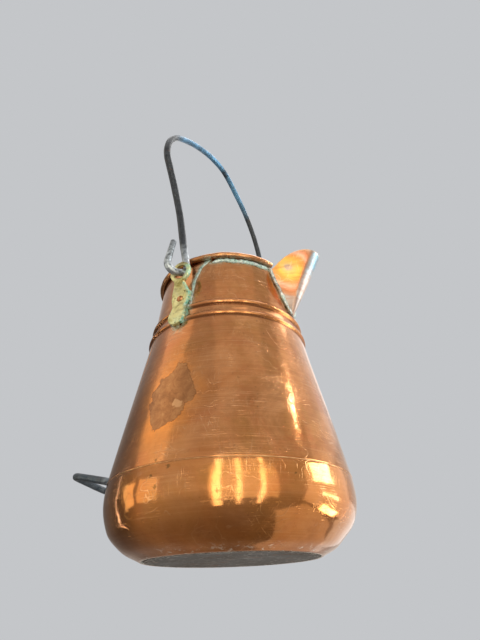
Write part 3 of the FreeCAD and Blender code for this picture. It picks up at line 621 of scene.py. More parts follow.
def body_attrs(th, z):
    th = wrap(th)
    # dirt and painted shade in the corners of beads, seam and rim
    dirt_and_shade = np.zeros(th.shape)
    for c, w in ((157.6, 0.9), (162.5, 0.9), (169.2, 0.9), (173.9, 0.9), (47.0, 0.5), (216.9, 1.6)):
        dirt_and_shade = np.maximum(dirt_and_shade, (0.75 if c > 100 else 0.25) * np.exp(-((z - c) / w) ** 2))
    pd = sdist(th * KD, z, [(a * KD, b) for a, b in PATCH])
    pi = sdist(th * KD, z, [(a * KD, b) for a, b in PATCH_IN])
    halo = np.clip(1 - np.abs(pd) / 14.0, 0, 1) ** 1.5 * (pd > -2)
    spots = np.full(th.shape, 9.0)
    for a, b, r in SPOTS:
        spots = np.minimum(spots, np.hypot((th - a) * 1.5, z - b) - r)
    # distance to the soldered work on the neck
    sd = ldist(th * 1.1, z, [(a * 1.1, b) for a, b in SMEAR])
    rim = np.where((th > SP - 73) & (th < SP + 68) & (z > 150), np.abs(z - 215.5), 99)
    w = spout_wz(np.clip(z, 175, 216)) + 1.2
    spd = np.where((z > 174) & (z < 217), np.abs(np.abs(th - SP) * np.pi / 180 * rbase(z) - w), 99)
    spd = np.where(z <= 174, np.hypot((th - SP) * 1.08, z - 175), spd)
    near = np.minimum(np.minimum(sd, rim), spd)
    ear = np.minimum(np.hypot(wrap(th + 89.6) * 1.1, (z - 172) / 2.4),
                     np.hypot(wrap(th - 96.4) * 1.1, (z - 172) / 2.4)) - 8.3
    verd = np.exp(-np.clip(near - 1.0, 0, None) / 1.4) * 0.9
    verd = np.maximum(verd, np.exp(-np.clip(ear, 0, None) / 1.3) * 0.75)
    heat = np.exp(-np.clip(near - 2.0, 0, None) / 9.0) * (z > 150)
    for c in (160.05, 171.55):                     # crests of the beads: painted highlight
        heat = np.maximum(heat, 0.95 * np.exp(-((z - c) / 1.35) ** 2))
    gold = np.clip((60.0 - z) / 16.0, 0, 1) * 0.62
    gold = np.maximum(gold, np.exp(-(wrap(th + 92) / 26.0) ** 2) * np.exp(-((z - 88) / 42.0) ** 2))
    gold = np.maximum(gold, 0.25)
    return {"dirt_and_shade": dirt_and_shade, "gold": gold, "patch": pd, "patch_in": pi, "halo": halo, "spots": spots,
            "verd": verd, "heat": heat}


# upper body: one closed shell with the mouth of the spout cut out of it
def upper_body():
    zs = [47.3, 47.45, 47.8, 48.6, 50.0]
    zs += list(np.arange(52.4, 153.0, 2.4)) + list(np.arange(154.0, 177.4, 0.42))
    zs = [z for z in zs if z < 177.3]
    z0 = 177.5
    zs += [z0] + list(np.arange(178.4, 216.4, 1.25)) + [216.5, 216.9]
    zs = np.array(sorted(set(np.round(zs, 3))))
    N = 264
    w_in = np.clip(spout_wz(zs) - 1.3, 0.05, None)
    r = rbody(zs)
    r[0] -= 0.06
    h = np.where(zs > z0, np.degrees(np.arcsin(np.clip(w_in / rbase(zs), 0, 0.9))), 0.0)
    verts, idx, A_th, A_z, ins = [], {}, [], [], []
    nr = len(zs)
    for side in (0, 1):
        for i, z in enumerate(zs):
            n = N if z <= z0 else N + 1
            u = np.linspace(0, 1, N + 1)[:n]
            th = SP + h[i] + (360 - 2 * h[i]) * u
            rad = r[i] + dent(th, z) - (1.3 if side else 0.0)
            base = len(verts)
            verts.extend(polar(th, rad, np.full(th.shape, z)).tolist())
            A_th.extend(th.tolist())
            A_z.extend([z] * n)
            ins.extend([side] * n)
            for j in range(N + 1):
                idx[(side, i, j)] = base + (j % N if z <= z0 else j)
    faces, fm = [], []
    for side in (0, 1):
        for i in range(nr - 1):
            for j in range(N):
                faces.append((idx[side, i, j], idx[side, i, j + 1], idx[side, i + 1, j + 1], idx[side, i + 1, j]))
                fm.append(side)
    for i in (0, nr - 1):
        for j in range(N):
            faces.append((idx[0, i, j], idx[0, i, j + 1], idx[1, i, j + 1], idx[1, i, j]))
            fm.append(0)
    for i in range(nr - 1):
        if zs[i] >= z0 - 1e-6:
            for j in (0, N):
                f = (idx[0, i, j], idx[0, i + 1, j], idx[1, i + 1, j], idx[1, i, j])
                faces.append(f)
                fm.append(1)
    at = body_attrs(np.array(A_th), np.array(A_z))
    return make("neck_and_cone", verts, faces, [M_CU, M_TIN], "upper_body", attrs=at, fmat=fm)


def lathe(name, prof, cols, mats, node, a0=0.0, a1=360.0, fm_rows=None, wob=1.0,
          attrs=True, jit=None, sharp=38.0):
    """closed (r, z) loop turned about Z; a part turn gets end caps"""
    P = np.array(prof, float)
    full = abs(a1 - a0) > 359.9
    n = cols if full else cols + 1
    th = a0 + (a1 - a0) * np.arange(n) / cols
    verts = []
    ath, az = [], []
    for k, (r, z) in enumerate(P):
        rr = r + wob * dent(th, z)
        zz = np.full(th.shape, z)
        if jit:
            dr, dz = jit(th, r, z, k)
            rr, zz = rr + dr, zz + dz
        verts.extend(polar(th, rr, zz).tolist())
        ath.extend(th.tolist())
        az.extend([z] * n)
    faces = grid_faces(len(P), n, True, full)
    fm = None
    if fm_rows is not None:
        fm = []
        for i in range(len(P)):
            fm += [fm_rows(i)] * (n if full else n - 1)
    if not full:
        faces.append(tuple(k * n for k in range(len(P))))
        faces.append(tuple(k * n + n - 1 for k in reversed(range(len(P)))))
        if fm is not None:
            fm += [0, 0]
    at = body_attrs(np.array(ath), np.array(az)) if attrs else None
    return make(name, verts, faces, mats, node, attrs=at, fmat=fm, sharp=sharp)


def bowl():
    o = curve2(BOWL, 64)
    bi = [(60.9, 1.4), (64.2, 2.6)]
    for i in range(2, len(BOWL) - 1):
        a, b = BOWL[i - 1], BOWL[i + 1]
        tr, tz = b[0] - a[0], b[1] - a[1]
        n = math.hypot(tr, tz)
        bi.append((BOWL[i][0] - tz / n * 1.5, BOWL[i][1] + tr / n * 1.5))
    bi.append((86.9, 46.5))
    i_ = curve2(bi, 40)
    o[-1] = (88.36, 46.5)
    prof = [(60.9, 0.15)] + [tuple(p) for p in o] + [tuple(p) for p in i_[::-1]]
    prof[1] = (61.7, 0.0)
    no = 1 + len(o)
    return lathe("lower_bowl_shell", prof, 264, [M_CU, M_TIN], "lower_bowl",
                 fm_rows=lambda i: 1 if no <= i < len(prof) - 1 else 0)


def seam_ring():
    def jit(th, r, z, k):
        t = np.radians(th)
        s = 0.05 * np.sin(23 * t + 1) * np.sin(7 * t) + 0.03 * np.sin(61 * t + 2)
        return (s if r > 87.5 else 0 * s), 0.03 * np.sin(17 * t + k)
    prof = [(86.95, 46.52), (88.22, 46.52), (88.40, 46.66), (88.46, 46.9), (88.38, 47.14), (88.18, 47.28), (86.95, 47.28)]
    return lathe("bowl_seam_line", prof, 360, M_BRAZE, "bowl_seam_braze", jit=jit, attrs=False)


def rim():
    Cr, Cz = 58.4, 220.3
    g = SP + 18.6
    out = [(55.8, 216.95), (55.8, 219.2)]
    for a in np.radians(np.linspace(180, -112, 30)):
        out.append((Cr + 2.56 * math.cos(a), Cz + 2.56 * math.sin(a)))
    inn = []
    for a in np.radians(np.linspace(-104, 168, 24)):
        inn.append((Cr + 1.62 * math.cos(a), Cz + 1.62 * math.sin(a)))
    prof = out + inn + [(57.02, 219.2), (57.08, 216.95)]

    def jit(th, r, z, k):
        t = np.radians(th)
        s = 0.10 * np.sin(5 * t + 0.4) + 0.07 * np.sin(13 * t + 2.0) + 0.05 * np.sin(29 * t)
        f = np.clip((z - 217.2) / 2.5, 0, 1)
        return s * f, 0.8 * s * f
    ob = lathe("rolled_rim_edge", prof, 300, M_RIM, "rolled_rim", a0=g, a1=SP + 360 - 18.6, jit=jit, sharp=50)
    return ob


def base():
    # slightly domed grey disc, closed
    nr, nc = 26, 200
    verts, faces = [], []
    for side, z0 in ((0, 0.0), (1, 1.4)):
        for i in range(1, nr + 1):
            r = 59.6 * i / nr
            th = 360.0 * np.arange(nc) / nc
            t = np.radians(th)
            z = z0 + 0.18 * (1 - (r / 59.6) ** 2) + 0.07 * (1 + np.sin(3 * t + r / 9.0) * np.cos(r / 6.0 + 2 * t)) * (1 - (r / 59.6) ** 8)
            verts.extend(polar(th, np.full(th.shape, r), z).tolist())
        verts.append([0, 0, z0 + 0.2])
    m = nr * nc + 1
    for side in (0, 1):
        o = side * m
        for i in range(nr - 1):
            for j in range(nc):
                j2 = (j + 1) % nc
                faces.append((o + i * nc + j, o + i * nc + j2, o + (i + 1) * nc + j2, o + (i + 1) * nc + j))
        for j in range(nc):
            faces.append((o + nr * nc, o + j, o + (j + 1) % nc))
    a = (nr - 1) * nc
    for j in range(nc):
        j2 = (j + 1) % nc
        faces.append((a + j, a + j2, m + a + j2, m + a + j))
    return make("base_plate", verts, faces, [M_BASE], "base_disc")


def fnoise(P, f, seed=0.0):
    return np.array([mnoise.noise(Vector((p[0] * f + seed, p[1] * f - seed, p[2] * f + 3 * seed))) for p in P])


def cr(points, step):
    """smooth line through points (Catmull-Rom), resampled by length"""
    P = np.array(points, float)
    P = np.vstack([2 * P[0] - P[1], P, 2 * P[-1] - P[-2]])
    out = []
    for i in range(1, len(P) - 2):
        p0, p1, p2, p3 = P[i - 1:i + 3]
        for t in np.linspace(0, 1, 24, endpoint=False):
            out.append(0.5 * (2 * p1 + (p2 - p0) * t + (2 * p0 - 5 * p1 + 4 * p2 - p3) * t * t + (3 * p1 - p0 - 3 * p2 + p3) * t ** 3))
    out.append(P[-2])
    return resample(np.array(out), step)


def resample(Q, step):
    d = np.r_[0, np.cumsum(np.linalg.norm(np.diff(Q, axis=0), axis=1))]
    n = max(3, int(d[-1] / step) + 1)
    t = np.linspace(0, d[-1], n)
    return np.stack([np.interp(t, d, Q[:, k]) for k in range(Q.shape[1])], -1)


def tube(name, path, rad, mat, node, segs=20, body="pot", attrs=None, cap=True, ref=None, sharp=60,
         closed=False):
    """swept round bar; rad(i, n, phi) gives the radius"""
    Q = np.array(path, float)
    n = len(Q)
    if closed:
        T = np.roll(Q, -1, 0) - np.roll(Q, 1, 0)
    else:
        T = np.gradient(Q, axis=0)
    T /= np.linalg.norm(T, axis=1)[:, None]
    if ref is None:
        ref = np.array([0.0, 0.0, 1.0]) if abs(T[0][2]) < 0.9 else np.array([1.0, 0, 0])
    u = ref - T[0] * (ref @ T[0])
    u /= np.linalg.norm(u)
    verts = []
    phi = np.linspace(0, 2 * np.pi, segs, endpoint=False)
    if closed:
        U = []
        for i in range(n):
            w = np.array([0.0, 0, 1.0])
            w = w - T[i] * (w @ T[i])
            U.append(w / np.linalg.norm(w))
    for i in range(n):
        if closed:
            u = U[i]
        else:
            u = u - T[i] * (u @ T[i])
            u /= np.linalg.norm(u)
        v = np.cross(T[i], u)
        r = rad(i, n, phi)
        verts.extend((Q[i] + (np.outer(np.cos(phi) * r, u) + np.outer(np.sin(phi) * r, v))).tolist())
    faces = grid_faces(n, segs, closed, True)
    extra = []
    if cap and not closed:
        for end in (0, n - 1):
            sgn = -1 if end == 0 else 1
            ring0 = end * segs
            c = Q[end]
            R = float(np.mean(np.linalg.norm(np.array(verts[ring0:ring0 + segs]) - c, axis=1)))
            prev = [ring0 + k for k in range(segs)]
            for f, g in ((0.86, 0.45), (0.55, 0.72)):
                b = len(verts)
                for k in range(segs):
                    p = np.array(verts[ring0 + k])
                    verts.append((c + (p - c) * f + T[end] * sgn * R * g * 0.6).tolist())
                    extra.append(end)
                cur = [b + k for k in range(segs)]
                for k in range(segs):
                    faces.append((prev[k], prev[(k + 1) % segs], cur[(k + 1) % segs], cur[k]))
                prev = cur
            b = len(verts)
            verts.append((c + T[end] * sgn * R * 0.80 * 0.6).tolist())
            extra.append(end)
            for k in range(segs):
                faces.append((prev[k], prev[(k + 1) % segs], b))
    at = None
    if attrs:
        at = {k: np.r_[np.repeat(v, segs), [v[e] for e in extra]] for k, v in attrs.items()}
    return make(name, verts, faces, [mat], node, body=body, attrs=at, sharp=sharp)


def rounded(pts, radii, step=1.1):
    """straight runs joined by tangent arcs, as the frame has them"""
    P = [np.array(p, float) for p in pts]
    out = [P[0]]
    prev = P[0]

    def run(a, b):
        n = max(1, int(np.linalg.norm(b - a) / step))
        for i in range(1, n + 1):
            out.append(a + (b - a) * i / n)
    for i in range(1, len(P) - 1):
        a, b, c = P[i - 1], P[i], P[i + 1]
        la, lc = np.linalg.norm(a - b), np.linalg.norm(c - b)
        u, v = (a - b) / la, (c - b) / lc
        half = math.acos(max(-1, min(1, float(u @ v)))) / 2
        lim = min(la, lc)
        cut = radii[i - 1] / math.tan(half) if radii[i - 1] else 0.45 * lim
        cut = min(cut, 0.49 * lim if radii[i - 1] is None else 0.9 * lim)
        t1, t2 = b + u * cut, b + v * cut
        bis = (u + v) / np.linalg.norm(u + v)
        R = cut * math.tan(half)
        cen = b + bis * (R / math.sin(half))
        if np.linalg.norm(t1 - prev) > 1e-6:
            run(prev, t1)
        e1, e2 = t1 - cen, t2 - cen
        turn = math.acos(max(-1, min(1, float(e1 @ e2) / R ** 2)))
        n = max(2, int(max(R * turn / step, turn / 0.14)))
        for k in range(1, n + 1):
            s = turn * k / n
            out.append(cen + (e1 * math.sin(turn - s) + e2 * math.sin(s)) / math.sin(turn))
        prev = t2
    run(prev, P[-1])
    return np.array(out)


def ribbon(name, pts, mat, node, seed=1.0, step=0.8, nsec=10, sink=0.35, lump=0.35):
    """soft bead of metal lying on the skin of the body; pts are (angle, z, half width, height)"""
    L = np.array(pts, float)
    L2 = L.copy()
    L2[:, 0] *= 1.08
    Q = cr(L2, step)
    n = len(Q)
    th, z = Q[:, 0] / 1.08, Q[:, 1]

    def surf(th, z):
        return polar(th, rbody(z) + dent(th, z), z)
    P = surf(th, z)
    T = np.gradient(P, axis=0)
    T /= np.linalg.norm(T, axis=1)[:, None]
    t = np.radians(th)
    Nn = np.stack([np.cos(t), np.sin(t), np.full(n, 0.12)], -1)
    Nn /= np.linalg.norm(Nn, axis=1)[:, None]
    Sd = np.cross(T, Nn)
    Sd /= np.linalg.norm(Sd, axis=1)[:, None]
    k1 = fnoise(P, 0.23, seed)
    k2 = fnoise(P, 0.60, seed + 4)
    k3 = fnoise(P, 0.16, seed + 9)
    taper = np.clip(np.minimum(np.arange(n), np.arange(n)[::-1]) / 4.0, 0.12, 1) ** 0.6
    hw = Q[:, 2] * (1 + lump * 0.9 * k1 + lump * 0.7 * k2) * taper
    hh = Q[:, 3] * (1 + lump * 1.2 * k2 + lump * k1) * taper
    off = 0.45 * Q[:, 2] * k3
    verts = []
    phis = np.linspace(math.radians(-18), math.radians(198), nsec)
    for i in range(n):
        for ph in phis:
            w, h = math.cos(ph), math.sin(ph)
            verts.append((P[i] + Sd[i] * (off[i] + hw[i] * w) + Nn[i] * (hh[i] * h - (sink * 0.3 if h > 0 else sink))).tolist())
    faces = grid_faces(n, nsec, False, True)
    faces.append(tuple(range(nsec)))
    faces.append(tuple((n - 1) * nsec + k for k in reversed(range(nsec))))
    return make(name, verts, faces, [mat], node, sharp=70)


# ------------------------------------------------------------------ spout
LIP = [(30.0, 216.6), (54.0, 216.2), (57.5, 218.6), (64.0, 224.2), (70.6, 228.0),
       (77.0, 230.1), (85.5, 230.2), (91.0, 229.6), (104.0, 228.0)]
lip = cubic([p[0] for p in LIP], [p[1] for p in LIP])
NS_, NA_ = 24, 56


def upath(z, shrink):
    w = max(float(spout_wz(z)) - shrink, 0.35)
    R = 62.9 + (z - 175.2) * (92.6 - 62.9) / (229.3 - 175.2) - shrink * 1.25
    rn = float(rbase(z)) if z < 216.9 else 57.1
    rho = 0.6 * w
    um = 53.0
    c0 = max(R - rho, 42.0)
    dx, dy = um - c0, w
    al = math.atan2(dy, dx) - math.acos(min(0.999, rho / math.hypot(dx, dy)))
    tx, ty = c0 + rho * math.cos(al), rho * math.sin(al)
    k = (ty - w) / (tx - um)
    # meets the neck where |p| = rn
    b0 = w - k * um
    A, B, Cc = 1 + k * k, 2 * k * b0, b0 * b0 - rn * rn
    us = (-B + math.sqrt(max(B * B - 4 * A * Cc, 0))) / (2 * A)
    us = min(us, tx - 0.02)
    pts = []
    for i in range(NS_):
        u = us + (tx - us) * i / NS_
        pts.append((u, b0 + k * u))
    a1 = al
    for i in range(NA_ + 1):
        a = a1 + (-2 * a1) * i / NA_
        pts.append((c0 + rho * math.cos(a), rho * math.sin(a)))
    for i in range(NS_ - 1, -1, -1):
        u = us + (tx - us) * i / NS_
        pts.append((u, -(b0 + k * u)))
    return np.array(pts)


def spout():
    nc = 2 * NS_ + NA_ + 1
    NR = 70

    def tops(shrink):
        lo, hi = np.full(nc, 205.0), np.full(nc, 232.5)
        for _ in range(26):
            mid = (lo + hi) / 2
            u = np.array([upath(m, shrink)[j, 0] for j, m in enumerate(mid)])
            above = mid > lip(u)
            hi = np.where(above, mid, hi)
            lo = np.where(above, lo, mid)
        return (lo + hi) / 2
    zt = [tops(0.0), tops(1.3)]
    zb = [176.1, 178.4]
    zt = [np.minimum(a, 231) for a in zt]
    verts, idx = [], {}
    AU, AZ, AW, AT = [], [], [], []
    ca, sa = math.cos(math.radians(SP)), math.sin(math.radians(SP))
    for side, shrink in ((0, 0.0), (1, 1.3)):
        for i in range(NR):
            f = i / (NR - 1)
            f = f ** 0.9
            for j in range(nc):
                z = zb[side] + (zt[side][j] - zb[side]) * f
                u, w = upath(z, shrink)[j]
                # beaten slightly out of true
                s = 0.08 * math.sin(z / 7.0 + j / 9.0) * math.sin(u / 6.0) * min(1.0, max(0.0, (u - 58) / 12.0))
                w += s
                idx[side, i, j] = len(verts)
                verts.append([u * ca - w * sa, u * sa + w * ca, z])
                AU.append(u)
                AW.append(w)
                AZ.append(z)
                AT.append(zt[side][j] - z)
    for j in range(nc):
        p, q = np.array(verts[idx[0, NR - 1, j]]), np.array(verts[idx[1, NR - 1, j]])
        idx["t", j] = len(verts)
        verts.append(((p + q) / 2 + np.array([0, 0, 0.28])).tolist())
        AU.append(AU[idx[0, NR - 1, j]])
        AW.append(AW[idx[0, NR - 1, j]])
        AZ.append(AZ[idx[0, NR - 1, j]])
        AT.append(0.0)
    faces, fm = [], []
    for side in (0, 1):
        for i in range(NR - 1):
            for j in range(nc - 1):
                faces.append((idx[side, i, j], idx[side, i, j + 1], idx[side, i + 1, j + 1], idx[side, i + 1, j]))
                fm.append(side)
    for j in range(nc - 1):
        faces.append((idx[0, NR - 1, j], idx[0, NR - 1, j + 1], idx["t", j + 1], idx["t", j]))
        faces.append((idx["t", j], idx["t", j + 1], idx[1, NR - 1, j + 1], idx[1, NR - 1, j]))
        faces.append((idx[0, 0, j], idx[0, 0, j + 1], idx[1, 0, j + 1], idx[1, 0, j]))
        fm += [0, 0, 0]
    for j in (0, nc - 1):
        for i in range(NR - 1):
            faces.append((idx[0, i, j], idx[0, i + 1, j], idx[1, i + 1, j], idx[1, i, j]))
            fm.append(0)
        faces.append((idx[0, NR - 1, j], idx["t", j], idx[1, NR - 1, j]))
        fm.append(0)
    u, w, z, at = (np.array(x) for x in (AU, AW, AZ, AT))
    # rings round a point on each side wall; near the ridge the value is raised to the pale cyan end of the ramp, a
    # painted highlight
    nose = 62.9 + (z - 175.2) * 29.7 / 54.1 - u          # distance back from the ridge
    du, dz = (u - 68.5) / 19.0, (z - 216.5) / 20.0
    ring = np.sqrt(du ** 2 + dz ** 2 + 0.35 * du * dz)
    ring = np.clip(ring * 0.62, 0, 0.80)
    ridge_painted_highlight = np.clip(1.0 - nose / 3.6, 0, 1) * np.clip((z - 186) / 10, 0, 1)
    ring = np.where(ridge_painted_highlight > 0, np.maximum(ring, 0.72 + 0.26 * ridge_painted_highlight), ring)
    edge = np.exp(-at / 0.8)
    rn = np.hypot(u, w) - rbase(np.clip(z, 47, 216.9))
    foot = np.exp(-np.clip(rn, 0, None) / 0.8)
    return make("spout_shell", verts, faces, [M_SPOUT, M_TIN], "spout",
                attrs={"ring": ring, "edge": edge, "foot": foot}, fmat=fm, sharp=45)


# --------------------------------------------------- remeshed hardware pieces
def remeshed(name, node, voxel, mat, amp, freq, smooth=2, body="pot", attr=None, seed=0.0, keep_hole=None):
    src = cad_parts[node]
    ob = bpy.data.objects.new("tmp_" + name, src.data.copy())
    sc.collection.objects.link(ob)
    md = ob.modifiers.new("w", "WELD")
    md.merge_threshold = 1e-6
    md = ob.modifiers.new("r", "REMESH")
    md.mode = "VOXEL"
    md.voxel_size = voxel * S
    if smooth:
        md = ob.modifiers.new("s", "SMOOTH")
        md.factor = 0.5
        md.iterations = smooth
    dg = bpy.context.evaluated_depsgraph_get()
    me = bpy.data.meshes.new_from_object(ob.evaluated_get(dg))
    src_me = ob.data
    bpy.data.objects.remove(ob)
    bpy.data.meshes.remove(src_me)
    co = np.empty(len(me.vertices) * 3, np.float32)
    me.vertices.foreach_get("co", co)
    co = co.reshape(-1, 3).astype(float) / S
    no = np.empty(len(me.vertices) * 3, np.float32)
    me.vertex_normals.foreach_get("vector", no)
    no = no.reshape(-1, 3)
    d = amp * (fnoise(co, freq, seed) + 0.5 * fnoise(co, freq * 2.7, seed + 2))
    if keep_hole:
        d = keep_hole(co, d)
    co2 = co + no * d[:, None]
    me.vertices.foreach_set("co", (co2 * S).astype(np.float32).ravel())
    me.update()
    if attr:
        for k, arr in attr(co).items():
            a = me.attributes.new(k, "FLOAT", "POINT")
            a.data.foreach_set("value", np.asarray(arr, np.float32))
    me.materials.clear()
    me.materials.append(mat)
    me.polygons.foreach_set("use_smooth", [True] * len(me.polygons))
    out = bpy.data.objects.new(name, me)
    sc.collection.objects.link(out)
    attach(out, body)
    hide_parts(node)
    return out


def ear_frame(co, sign):
    """across the ear, along the hinge, up; undoes the turn of the pair"""
    t = math.radians(-3.5)
    x = co[:, 0] * math.cos(t) - co[:, 1] * math.sin(t)
    y = co[:, 0] * math.sin(t) + co[:, 1] * math.cos(t)
    z = co[:, 2]
    mid = np.interp(z, [150, 184, 190, 195.6, 196.5], [-4.0, -3.8, -2.0, -0.4, 0.0])
    return x - mid, y, z, x


def ear_attr(sign):
    def f(co):
        xc, y, z, x = ear_frame(co, sign)
        half = np.interp(z, [155, 162, 168, 174, 180, 186, 190, 195], [3, 7.8, 7.2, 6.3, 8.0, 8.0, 5.4, 4.6])
        side = np.clip((xc - (half - 2.6)) / 2.6, 0, 1) * (z < 192)
        side2 = np.clip((-xc - (half - 1.2)) / 2.0, 0, 1) * 0.35 * (z < 192)
        foot = np.clip((164 - z) / 9.0, 0, 1) * 0.35
        rr = np.hypot(x, z - 202.0)
        ring = 0.75 * np.clip((x - 3.0) / 4.0, 0, 1) * (z > 192)
        return {"verd": np.clip(np.maximum.reduce([side, side2, foot, ring]), 0, 1)}
    return f


def keep_ear(sign):
    def f(co, d):
        xc, y, z, x = ear_frame(co, sign)
        rr = np.hypot(x, z - 202.0)
        ring = z > 190.5
        near = np.where(ring, np.clip((rr - 7.0) / 1.2, 0, 1), 1.0)
        return np.where(ring, np.clip(d, -0.4, 0.22), d) * near
    return f


# --------------------------------------------------------------- build all
upper_body()
bowl()
seam_ring()
rim()
base()
spout()

# rolled edge's wire
for m in range(len(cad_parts["rim_wire"].material_slots)):
    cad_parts["rim_wire"].material_slots[m].material = M_WIRE

# side seam of the cone, flush with the sheet
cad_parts["side_seam_braze"].material_slots[0].material = M_BRAZE

# solder ring round the base
def base_ring():
    th = np.arange(0, 360, 0.9)
    t = np.radians(th)
    k = np.array([0.5 * nz(math.cos(a) * 9, math.sin(a) * 9, 1.3) + 0.5 * nz(math.cos(a) * 26, math.sin(a) * 26, 4.1) for a in t])
    fl = np.array([nz(math.cos(a) * 34, math.sin(a) * 34, 9.7) for a in t])
    fl = np.clip((fl - 0.04) / 0.22, 0, 1)
    R = 60.75 + 0.35 * k + 0.55 * fl
    rr = np.clip(0.85 + 0.55 * k + 1.05 * fl, 0.42, 2.1)
    path = np.stack([R * np.cos(t), R * np.sin(t), rr + 0.03], -1)
    return tube("base_solder_ring", path, lambda i, n, phi: rr[i] * (1 + 0.10 * np.sin(3 * phi + i)), M_FLAKE, "base_solder",
                segs=12, closed=True)


base_ring()

# solder under the rolled rim
ribbon("rim_solder_near", [(a, 215.2 + 0.5 * math.sin(a * 0.31), 2.05, 1.75) for a in np.linspace(SP - 71, SP - 21.0, 14)],
       M_SOLG, "rim_solder", seed=3.0)
ribbon("rim_solder_far", [(a, 215.2 + 0.5 * math.sin(a * 0.27), 1.9, 1.7) for a in np.linspace(SP + 21.0, SP + 66, 13)],
       M_SOLG, "rim_solder", seed=5.0)
ribbon("neck_solder_smear", [(a, b - 1.5, 1.15, 0.55) for a, b in SMEAR], M_SOLG, None, seed=8.0, lump=0.5)


def spout_seam():
    def sp(z, s):
        w = float(spout_wz(z)) + 1.35
        r = float(rbase(z)) + 1.05
        return [math.sqrt(r * r - w * w), s * w, z]
    pts = [sp(z, 1) for z in (214.8, 209, 202.6, 197, 190.6, 184.6, 179.6)] + [[float(rbase(175.0)) + 1.15, 0, 174.9]] + \
          [sp(z, -1) for z in (179.6, 184.6, 190.6, 197, 202.6, 209, 214.8)]
    ca, sa = math.cos(math.radians(SP)), math.sin(math.radians(SP))
    pts = [[u * ca - w * sa, u * sa + w * ca, z] for u, w, z in pts]
    Q = cr(pts, 0.7)
    k = fnoise(Q, 0.28, 2.0) + 0.6 * fnoise(Q, 0.8, 6.0)
    r0 = 1.42 + 0.42 * k
    return tube("spout_solder_bead", Q, lambda i, n, phi: r0[i] * (1 + 0.12 * np.sin(2 * phi + i * 0.21) + 0.06 * np.sin(5 * phi + i * 0.5)),
                M_SOL, "spout_solder", segs=16)


spout_seam()

for side, sgn, seed in (("left", 1.0, 1.0), ("right", -1.0, 7.0)):
    remeshed("ear_%s_plate" % side, "ear_" + side, 0.42, M_BRASS, 0.26, 0.30, 2,
             attr=ear_attr(sgn), seed=seed, keep_hole=keep_ear(sgn))
    remeshed("ear_%s_solder_skirt" % side, "ear_%s_solder" % side, 0.34, M_SOLG, 0.34, 0.42, 3, seed=seed + 3)
    remeshed("ear_%s_rivet_heads" % side, "ear_%s_rivets" % side, 0.28, M_RIV, 0.16, 0.55, 2, seed=seed + 5)

for side, seed in (("left", 2.0), ("right", 4.0)):
    remeshed("loop_lug_%s" % side, "rear_lug_" + side, 0.36, M_STEEL, 0.14, 0.35, 2, seed=seed,
             keep_hole=lambda co, d: np.minimum(d, 0.03))
remeshed("loop_lug_rivets", "rear_lug_rivets", 0.26, M_RIV, 0.12, 0.5, 2, seed=9.0)

# ------------------------------------------------------------------- bail
BAIL = [(-2.8, 77.0, 231.0), (-7.2, 82.0, 197.5), (3.2, 64.6, 204.0), (-1.9, 65.0, 236.0),
        (-3.6, 67.2, 268.0), (-4.6, 75.4, 298.5), (-5.4, 88.6, 335.5), (-5.2, 84.6, 356.5),
        (-4.5, 74.0, 373.5), (-3.2, 52.0, 389.0), (-1.5, 24.0, 402.0), (0.4, -6.0, 404.0),
        (1.6, -27.0, 388.5), (3.2, -52.0, 364.5), (4.3, -70.0, 331.0), (4.7, -76.5, 298.0),
        (4.2, -73.0, 264.0), (1.6, -66.0, 236.0), (3.2, -64.6, 204.0), (-7.2, -82.0, 197.5),
        (-2.8, -77.0, 231.0)]
EAR_Z, EAR_TURN = 202.0, 3.5


def bail():
    radii = [7.5, 7.0] + [None] * (len(BAIL) - 6) + [7.0, 7.5]
    Q = rounded([(x, -s, z) for x, s, z in BAIL], radii, 1.15)
    a = math.radians(-1.5)
    ca, sa = math.cos(a), math.sin(a)
    x, z = Q[:, 0].copy(), Q[:, 2] - EAR_Z
    Q[:, 0] = x * ca + z * sa
    Q[:, 2] = -x * sa + z * ca + EAR_Z
    a = math.radians(EAR_TURN)
    ca, sa = math.cos(a), math.sin(a)
    x, y = Q[:, 0].copy(), Q[:, 1].copy()
    Q[:, 0], Q[:, 1] = x * ca - y * sa, x * sa + y * ca
    n = len(Q)
    zc = Q[:, 2]
    free = np.clip((zc - 224.0) / 16.0, 0, 1)           # away from the ears the bar may be beaten out of round
    k = fnoise(Q, 0.055, 1.0)
    k2 = fnoise(Q, 0.17, 5.0)
    end = np.minimum(np.arange(n), np.arange(n)[::-1]) * 1.15
    tip = np.clip(0.80 + end / 26.0 * 0.20, 0, 1)

    def rad(i, n_, phi):
        flat = 1 - free[i] * (0.045 + 0.05 * (0.5 + 0.5 * np.sin(0.045 * i))) * np.cos(2 * phi + 0.9 * math.sin(i * 0.012))
        ham = 1 + free[i] * (0.05 * k[i] * np.cos(3 * phi + 2.0) + 0.045 * k2[i] * np.cos(2 * phi + i * 0.06) - 0.02)
        return 3.04 * tip[i] * np.minimum(flat * ham, 1.06)
    # mask for the painted blue reflection near the apex
    apex = np.clip((zc - 352.0) / 30.0, 0, 1) * np.clip((Q[:, 1] + 92) / 25.0, 0, 1)
    wear = np.clip(1.35 - np.abs(zc - 207.0) / 24.0, 0, 1)
    wear = np.maximum(wear, 0.07)
    return tube("bail_bar", Q, rad, M_IRON, "bail", segs=24, body="bail_handle",
                attrs={"blue_painted_reflection": np.clip(apex * 1.25 - 0.30, 0.0, 1), "wear": wear}, ref=np.array([1.0, 0, 0]), sharp=75)


bail()

# -------------------------------------------------------------- rear loop
LOOP = [(0.0, -11.0, 0.0), (0.0, -28.5, 0.0), (26.0, -28.0, -1.6), (51.0, -22.0, -3.2),
        (51.5, 22.0, 3.2), (26.0, 28.0, 1.6), (0.0, 28.5, 0.0), (0.0, 11.0, 0.0)]


